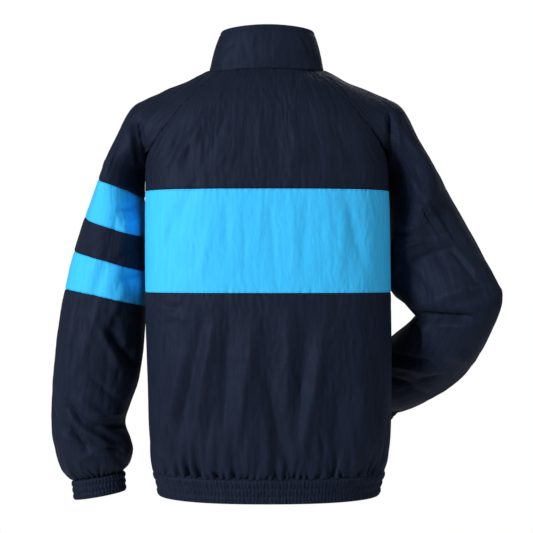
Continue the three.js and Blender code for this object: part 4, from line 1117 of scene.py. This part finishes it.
navy = nylon("navy_nylon", NAVY)
blue = nylon("blue_nylon", BLUE)
elastic = nylon("elastic_nylon", ELASTIC)
navy_thread = thread("navy_thread", (0.012, 0.017, 0.036))
blue_thread = thread("blue_thread", (0.02, 0.26, 0.62))
metal = lacquer("dark_lacquer", (0.03, 0.035, 0.05))
tape = woven_tape("zip_tape_weave", (0.010, 0.014, 0.030))

# The back

panels = {}


def add_panel(name, grid, lift, material, nodes=()):
    panels[name] = sew_panel(name, grid, lift, material, nodes or [name])


yoke = yoke_grid()
yoke_lift = side_folds(yoke, BACK_CREASES) + body_crinkle(yoke, 11)
yoke_lift += puckers(yoke, ("low", "left", "right"), 101) + seam_dips(yoke, ("top", "low", "left", "right"))
add_panel("back_yoke", yoke, yoke_lift, navy)

band = back_grid(heights_between(BAND_TOP_Z, BAND_LOW_Z, GRID_FINE))
band_lift = 0.75 * side_folds(band, BACK_CREASES) + 0.6 * body_crinkle(band, 11)
band_lift += puckers(band, ("top", "low"), 131) + seam_dips(band, ("left", "right"))
add_panel("back_band", band, band_lift, blue)

lower = back_grid(heights_between(BAND_LOW_Z, HEM_SEAM_Z, GRID_FINE))
lower_lift = side_folds(lower, BACK_CREASES) + body_crinkle(lower, 11)
lower_lift += puckers(lower, ("top",), 161) + seam_dips(lower, ("top", "low", "left", "right"))
for kind, seed in ((HEM_SWEEP, 167), (HEM_GATHER, 171), (HEM_NIP, 181)):
    lower_lift += puckers(lower, ("low",), seed, kind)
add_panel("back_lower", lower, lower_lift, navy)

# The fronts

for side, name in ((-1, "front_left"), (1, "front_right")):
    front = front_grid(side)
    lift = side_folds(front, BACK_CREASES) + body_crinkle(front, 31 + side)
    lift *= smooth(4, 26, np.abs(front.points[..., 0]))
    lift += seam_dips(front, ("top", "low", "left", "right"))
    for kind, seed in ((HEM_SWEEP, 197), (HEM_GATHER, 201), (HEM_NIP, 211)):
        lift += puckers(front, ("low",), seed + side, kind)
    add_panel(name, front, lift, navy)

# The sleeves

LEFT_LENGTHS = (
    ("sleeve_left_top", 0, 1, 215, True),
    ("sleeve_left_stripe_upper", 1, 2, 268, False),
    ("sleeve_left_middle", 2, 3, 330, False),
    ("sleeve_left_stripe_lower", 3, 4, 391, False),
    ("sleeve_left_lower", 4, 13, 456, False),
)
for name, start, end, down, with_raglan in LEFT_LENGTHS:
    grid = sleeve_grid(-1, SLEEVE_LEFT, start, end, down, with_raglan)
    lift = side_folds(grid, SLEEVE_CREASES) + sleeve_crinkle(grid, 51) + arm_folds(grid, HANGING_FOLDS)
    lift += seam_dips(grid, ("top", "low", "left", "right"))
    striped = "stripe" in name
    lift += puckers(grid, ("top", "low") if striped else (), 231 + start)
    if name == "sleeve_left_lower":
        lift += puckers(grid, ("low",), 251, CUFF_GATHER) + puckers(grid, ("low",), 257, HEM_NIP)
    add_panel(name, grid, lift, blue if striped else navy)

RIGHT_LENGTHS = ("sleeve_right_top", "sleeve_right_upper", "sleeve_right_forearm")
grid = sleeve_grid(1, SLEEVE_RIGHT, 0, 17, 215, True)
lift = side_folds(grid, SLEEVE_CREASES) + sleeve_crinkle(grid, 71) + arm_folds(grid, BENT_FOLDS)
lift += seam_dips(grid, ("top", "low", "left", "right"))
lift += puckers(grid, ("low",), 271, CUFF_GATHER) + puckers(grid, ("low",), 277, HEM_NIP)
add_panel("sleeve_right", grid, lift, navy, RIGHT_LENGTHS)

# Elastic hem and cuffs: three stitched channels, ruched between


def ruched(u, down, seed):
    """Relief of ruched cloth; down goes from 0 at the seam to 1 at the edge."""
    channel = np.abs(np.sin(CHANNELS * math.pi * down)) ** 0.75
    drift = 2.2 * noise(u / 14, down * 3, seed) + 1.2 * noise(u / 5, down * 7, seed + 1)
    wave = np.sin(2 * math.pi * (u + drift) / RUCHE_PITCH)
    strength = 0.75 + 0.45 * noise(u / 9, down * 5, seed + 2)
    ruche = RUCHE_HIGH * (0.35 + 0.65 * channel) * strength * (wave - 0.35 * np.abs(wave))
    return CHANNEL_HIGH * channel + ruche - 0.2


def elastic_panel(name, grid, down, seed):
    """Ruched cloth over elastic; its top edge is tucked in under the cloth above."""
    lift = ruched(grid.u, down, seed) * smooth(0, 1.2, grid.edges["low"])
    lift = lift * smooth(0, 0.03, down) - TUCK_DEEP * smooth(0.01, -0.07, down)
    panels[name] = sew_panel(name, grid, lift, elastic, [name], ELASTIC_THICK)


def hem_grid():
    top = HEM_SEAM_Z - 0.5
    heights = top + TUCK_HIGH - step_lengths(top + TUCK_HIGH - HEM_LOW_Z, ELASTIC_GRID)
    end = zip_angle(between(BODY, "down", 700, "front"))
    fine = np.linspace(-end, end, 3000)
    length = walk(body_point(fine, np.full_like(fine, -700.0))[None], 1)[0]
    places = step_lengths(length[-1], ELASTIC_GRID)
    angles = np.interp(places, length, fine)
    points = body_point(angles[None, :], heights[:, None]) - 0.6 * round_point(angles, 1, 0)[None]
    points[:, 0, 0], points[:, -1, 0] = -ZIP_HALF, ZIP_HALF
    grid = make_grid(points, places, -heights[:, None])
    return grid, (top - heights[:, None]) / (top - HEM_LOW_Z)


hem, hem_down = hem_grid()
elastic_panel("hem_band", hem, hem_down, 301)


def cuff_grid(rings, side):
    ring = sleeve_ring(rings, rings["ring"][-1])
    places = step_lengths(CUFF_LONG + TUCK_HIGH, ELASTIC_GRID) - TUCK_HIGH
    shift = ring.axis * (0.6 + places)[:, None]
    across = unit(ring.outer - ring.inner)
    taper = (0.8 + places / CUFF_LONG * CUFF_TAPER)[:, None]
    rows = Ring(
        ring.outer + shift - across * taper,
        ring.inner + shift + across * taper,
        ring.axis,
        np.repeat(ring.back, len(places), 0),
        np.zeros(len(places)),
        ring.deep_back - taper[:, 0],
        ring.deep_front - taper[:, 0],
    )
    share = np.linspace(0, 1, 161)
    points = ring_point(rows, share)
    if side < 0:
        points = points[:, ::-1]
    around = walk(points, 1)
    grid = make_grid(points, around[len(places) // 2], places[:, None], tube=True)
    return grid, places[:, None] / CUFF_LONG


for side, rings, name in ((-1, SLEEVE_LEFT, "cuff_left"), (1, SLEEVE_RIGHT, "cuff_right")):
    cuff, cuff_down = cuff_grid(rings, side)
    elastic_panel(name, cuff, cuff_down, 331 + side)

# The stand collar


def collar_point(angle, high):
    c = np.cos(angle)
    at_back = c > 0
    low = neck_radius(angle) + 0.3
    top = oval(angle, COLLAR_HALF, np.where(at_back, COLLAR_BACK, COLLAR_FRONT), 2.4)
    back_top = COLLAR_SIDE_Z + (COLLAR_BACK_Z - COLLAR_SIDE_Z) * c * c
    front_top = COLLAR_SIDE_Z - (COLLAR_SIDE_Z - COLLAR_FRONT_Z) * np.abs(c) ** 1.4
    top_z = np.where(at_back, back_top, front_top)
    low_z = neck_height(angle) + 0.4
    rise = np.clip(high, 0, 1)
    radius = low + (top - low) * rise**0.8 + 3.2 * np.sin(math.pi * rise)
    point = round_point(angle, radius, low_z + (top_z - low_z) * high)
    point[..., 0] += COLLAR_SHIFT * high * smooth(-0.8, 0.2, c)
    return point


def collar_grid():
    places = step_lengths(75 + TUCK_HIGH, GRID_FINE)
    high = 1 - places[:, None] / 75
    end = zip_angle(collar_point(math.pi, high[:, 0])[:, 1])[:, None]
    share = step_lengths(480, GRID_FINE)[None, :] / 480
    points = collar_point(-end + 2 * end * share, high)
    points[:, 0, 0], points[:, -1, 0] = -ZIP_HALF, ZIP_HALF
    return make_grid(points, share * 480, places[:, None])


collar = collar_grid()
x, z = collar.points[..., 0], collar.points[..., 2]
collar_lift = fold_height(COLLAR_FOLDS, x, z) * smooth(0.1, 0.6, -collar.normal[..., 1])
collar_lift += 0.45 * crinkle(collar.u * 0.8, collar.w, 91) * smooth(0, 40, collar.edges["left"])
collar_lift *= smooth(2, 14, collar.edges["top"])
collar_lift -= 0.9 * np.exp(-(((collar.edges["top"] - 6) / 1.3) ** 2))
collar_lift += seam_dips(collar, ("left", "right")) - TUCK_DEEP * smooth(2.6, 0.6, collar.edges["low"])
collar_lift -= 0.8 * np.exp(-((collar.edges["top"] / 1.2) ** 2))
panels["collar"] = sew_panel("collar", collar, collar_lift, navy, ["collar"], COLLAR_THICK)

# Sewing


def stitch_line(line, normal):
    """Centres, ways and normals of stitches an even pitch apart along a line on the cloth."""
    length = walk(line[None], 1)[0]
    places = np.arange(STITCH_PITCH, length[-1] - STITCH_PITCH, STITCH_PITCH)

    def along(values, at):
        return np.stack([np.interp(at, length, values[:, k]) for k in range(3)], 1)

    way = unit(along(line, places + STITCH_LONG / 2) - along(line, places - STITCH_LONG / 2))
    return along(line, places), way, unit(along(normal, places))


def edge_line(panel, edge, inset=STITCH_INSET):
    """The line on a panel that runs beside one of its edges."""
    if edge in ("top", "low"):
        row = int(np.argmin(np.abs(panel.grid.edges[edge].mean(1) - inset)))
        return panel.outer[row], panel.normal[row]
    column = int(np.argmin(np.abs(panel.grid.edges[edge].mean(0) - inset)))
    return panel.outer[:, column], panel.normal[:, column]


def row_line(panel, share):
    """The line across a panel at a share of its length."""
    down = panel.grid.edges["top"].mean(1)
    row = int(np.argmin(np.abs(down - share * down[-1])))
    return panel.outer[row], panel.normal[row]


def sew(name, lines, material):
    """Every stitch of some lines as one piece: small spindles lying on the cloth."""
    centre, way, up = (np.concatenate(part) for part in zip(*(stitch_line(*line) for line in lines)))
    side = unit(np.cross(up, way))
    centre = centre + up * 0.12
    half = STITCH_LONG / 2
    corners = [centre - way * half - up * 0.15]
    for reach in (-0.55, 0.55):
        for s, n in ((1, 0), (0, 1), (-1, 0), (0, -1)):
            corners.append(centre + way * half * reach + (side * s + up * n) * STITCH_HALF)
    corners.append(centre + way * half - up * 0.15)
    points = np.stack(corners, 1).reshape(-1, 3)
    faces = []
    for k in range(4):
        n = (k + 1) % 4
        faces += [(0, 1 + n, 1 + k), (9, 5 + k, 5 + n), (1 + k, 1 + n, 5 + n), (1 + k, 5 + n, 5 + k)]
    every = np.arange(len(centre))[:, None, None] * 10 + np.array(faces)[None]
    obj = new_mesh(name, points, every.reshape(-1, 3))
    obj.data.materials.append(material)
    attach(obj, "garment")
    return obj


navy_lines = [edge_line(panels["back_yoke"], "low"), edge_line(panels["back_lower"], "top")]
navy_lines += [edge_line(panels["back_yoke"], edge) for edge in ("left", "right")]
for name in ("front_left", "front_right"):
    navy_lines += [edge_line(panels[name], edge) for edge in ("left", "right")]
navy_lines += [edge_line(panels["collar"], "top", 6), edge_line(panels["collar"], "low")]
navy_lines += [row_line(panels["hem_band"], k / CHANNELS) for k in range(1, CHANNELS)]
for name in ("cuff_left", "cuff_right"):
    navy_lines += [row_line(panels[name], k / CHANNELS) for k in range(1, CHANNELS)]
sew("stitching_navy", navy_lines, navy_thread)
blue_lines = [edge_line(panels["back_band"], edge, 3) for edge in ("top", "low", "left", "right")]
for name in ("sleeve_left_stripe_upper", "sleeve_left_stripe_lower"):
    blue_lines += [edge_line(panels[name], edge, 3) for edge in ("top", "low")]
sew("stitching_blue", blue_lines, blue_thread)

# The zip

TAPE_NEAR, TAPE_FAR, TAPE_THICK = 0.35, 6.6, 1.0
BOX_HIGH = 11
TOOTH_PITCH = 2.3
TOOTH = (3.0, 1.25, 1.7)


def zip_line():
    """The centre front from the collar's top to the zip's box."""
    high = np.linspace(1, 0, 20)
    ups = np.linspace(0.98, 0, 40)
    heights = np.linspace(ARMPIT_Z - 4, HEM_LOW_Z + BOX_HIGH + 0.3, 120)
    line = np.concatenate([
        collar_point(math.pi, high),
        yoke_point(math.pi, ups),
        body_point(math.pi, heights),
    ])
    line[:, 0] = 0
    length = walk(line[None], 1)[0]
    places = np.arange(0, length[-1], TOOTH_PITCH / 2)
    return np.stack([np.interp(places, length, line[:, k]) for k in range(3)], 1)


centre_line = zip_line()
zip_way = unit(np.gradient(centre_line, axis=0))
zip_out = np.stack([0 * zip_way[:, 0], -zip_way[:, 2], zip_way[:, 1]], 1)


def zip_tape(side):
    """One tape of the zip: a thin strip with a cord along its inner edge."""
    rows = centre_line[::3]
    out = zip_out[::3]
    across = np.array([TAPE_NEAR, 0.9, 1.6, 2.4, 4.0, 5.6, TAPE_FAR])
    lift = np.array([-0.7, -0.35, -0.35, -0.6, -0.6, -0.65, -0.9])
    points = rows[:, None, :] + out[:, None, :] * lift[None, :, None]
    points = points + np.array([side, 0, 0]) * across[None, :, None]
    if side > 0:
        points = points[:, ::-1]
    down = walk(rows[None], 1)[0]
    grid = make_grid(points, across, down[:, None])
    name = "zip_tape_left" if side < 0 else "zip_tape_right"
    return sew_panel(name, grid, np.zeros(grid.u.shape), tape, [name], TAPE_THICK)


for side in (-1, 1):
    zip_tape(side)


# A tooth's top as shares of its length and width, and where its narrowing starts, as a share of its half height
TOOTH_TOP = (0.72, 0.7)
TOOTH_SHOULDER = 0.3


def tooth_points():
    """One tooth as a block with a narrowed top."""
    x, y, z = (s / 2 for s in TOOTH)
    low = [(-x, -y), (x, -y), (x, y), (-x, y)]
    top = [(a * TOOTH_TOP[0], b * TOOTH_TOP[1]) for a, b in low]
    levels = ((low, -z), (low, z * TOOTH_SHOULDER), (top, z))
    return np.array([(a, b, height) for corners, height in levels for a, b in corners])


def zip_teeth():
    """Moulded teeth, in turn from the left and the right; above the slider they part."""
    shape = tooth_points()
    top = collar_point(math.pi, SLIDER_HIGH)[2]
    points = []
    for k, (place, way, out) in enumerate(zip(centre_line[2:-2], zip_way[2:-2], zip_out[2:-2])):
        side = 1 if k % 2 else -1
        parted = 1.9 * float(smooth(0, 9, place[2] - top - 3))
        x = side * (0.55 + parted)
        middle = place + out * 0.1
        across = np.array([1.0, 0, 0])
        points.append(middle + across * x + shape[:, :1] * across + shape[:, 1:2] * way + shape[:, 2:] * out)
    faces = [(0, 3, 2, 1), (8, 9, 10, 11)]
    for ring in (0, 4):
        faces += [(ring + a, ring + (a + 1) % 4, ring + 4 + (a + 1) % 4, ring + 4 + a) for a in range(4)]
    every = np.arange(len(points))[:, None, None] * len(shape) + np.array(faces)[None]
    obj = new_mesh("zip_teeth", np.concatenate(points), every.reshape(-1, 4))
    obj.data.materials.append(metal)
    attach(obj, "garment")


zip_teeth()

for name in ("zip_slider", "zip_pull", "zip_box"):
    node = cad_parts[name]
    node.data.materials.clear()
    node.data.materials.append(metal)

# Floor, light and camera


def plain(name, colour, rough):
    material, tree, shader = new_material(name)
    at = tree.nodes.new("ShaderNodeTexCoord").outputs["Object"]
    tone = noise_node(tree, at, (400, 400, 400), 2)
    colours = (scaled(colour, 0.98), colour)
    tree.links.new(ramp(tree, tone, 0.3, 0.7, colours), shader.inputs["Base Color"])
    shader.inputs["Roughness"].default_value = rough
    return material


FLOOR_Z = -1450
FLOOR_HALF = 2600
corners = np.array([(-1, -1, 0), (1, -1, 0), (1, 1, 0), (-1, 1, 0)], float) * FLOOR_HALF
floor = new_mesh("floor", corners + np.array([0, 0, FLOOR_Z]), np.array([[0, 1, 2, 3]]))
floor.data.materials.append(plain("pale_floor", (0.86, 0.86, 0.87), 0.7))


def add_light(name, place, aim, size, watts):
    """A soft square light in metres, turned towards a point."""
    data = bpy.data.lights.new(name, "AREA")
    data.size = size
    data.energy = watts
    lamp = bpy.data.objects.new(name, data)
    lamp.location = place
    way = np.array(aim, float) - np.array(place, float)
    x, y, z = way / np.linalg.norm(way)
    lamp.rotation_euler = (math.acos(-z), 0, math.atan2(-x, y))
    bpy.context.scene.collection.objects.link(lamp)


add_light("key", (-2.2, -2.0, 0.5), (0, 0, -0.35), 0.9, 98)
add_light("fill", (2.2, -1.5, 0.9), (0, 0, -0.35), 0.9, 22)
add_light("front", (0.8, 2.4, 1.7), (0, 0, -0.35), 1.8, 16)

world = bpy.data.worlds.new("studio")
bpy.context.scene.world = world
world.use_nodes = True
sky = world.node_tree
room = sky.nodes["Background"]
room.inputs["Color"].default_value = (0.93, 0.96, 1, 1)
room.inputs["Strength"].default_value = 0.16
paper = add_node(sky, "ShaderNodeBackground", Color=(1, 1, 1, 1), Strength=1.0)
seen = sky.nodes.new("ShaderNodeLightPath")
mix = sky.nodes.new("ShaderNodeMixShader")
sky.links.new(seen.outputs["Is Camera Ray"], mix.inputs["Fac"])
sky.links.new(room.outputs["Background"], mix.inputs[1])
sky.links.new(paper.outputs["Background"], mix.inputs[2])
sky.links.new(mix.outputs["Shader"], sky.nodes["World Output"].inputs["Surface"])
bpy.context.scene.view_settings.view_transform = "Standard"

lens = bpy.data.cameras.new("camera")
lens.lens = 98.4
lens.sensor_width = 36
camera = bpy.data.objects.new("camera", lens)
camera.location = (0, -2.5, -0.3338)
camera.rotation_euler = (math.pi / 2, 0, 0)
bpy.context.scene.collection.objects.link(camera)
bpy.context.scene.camera = camera
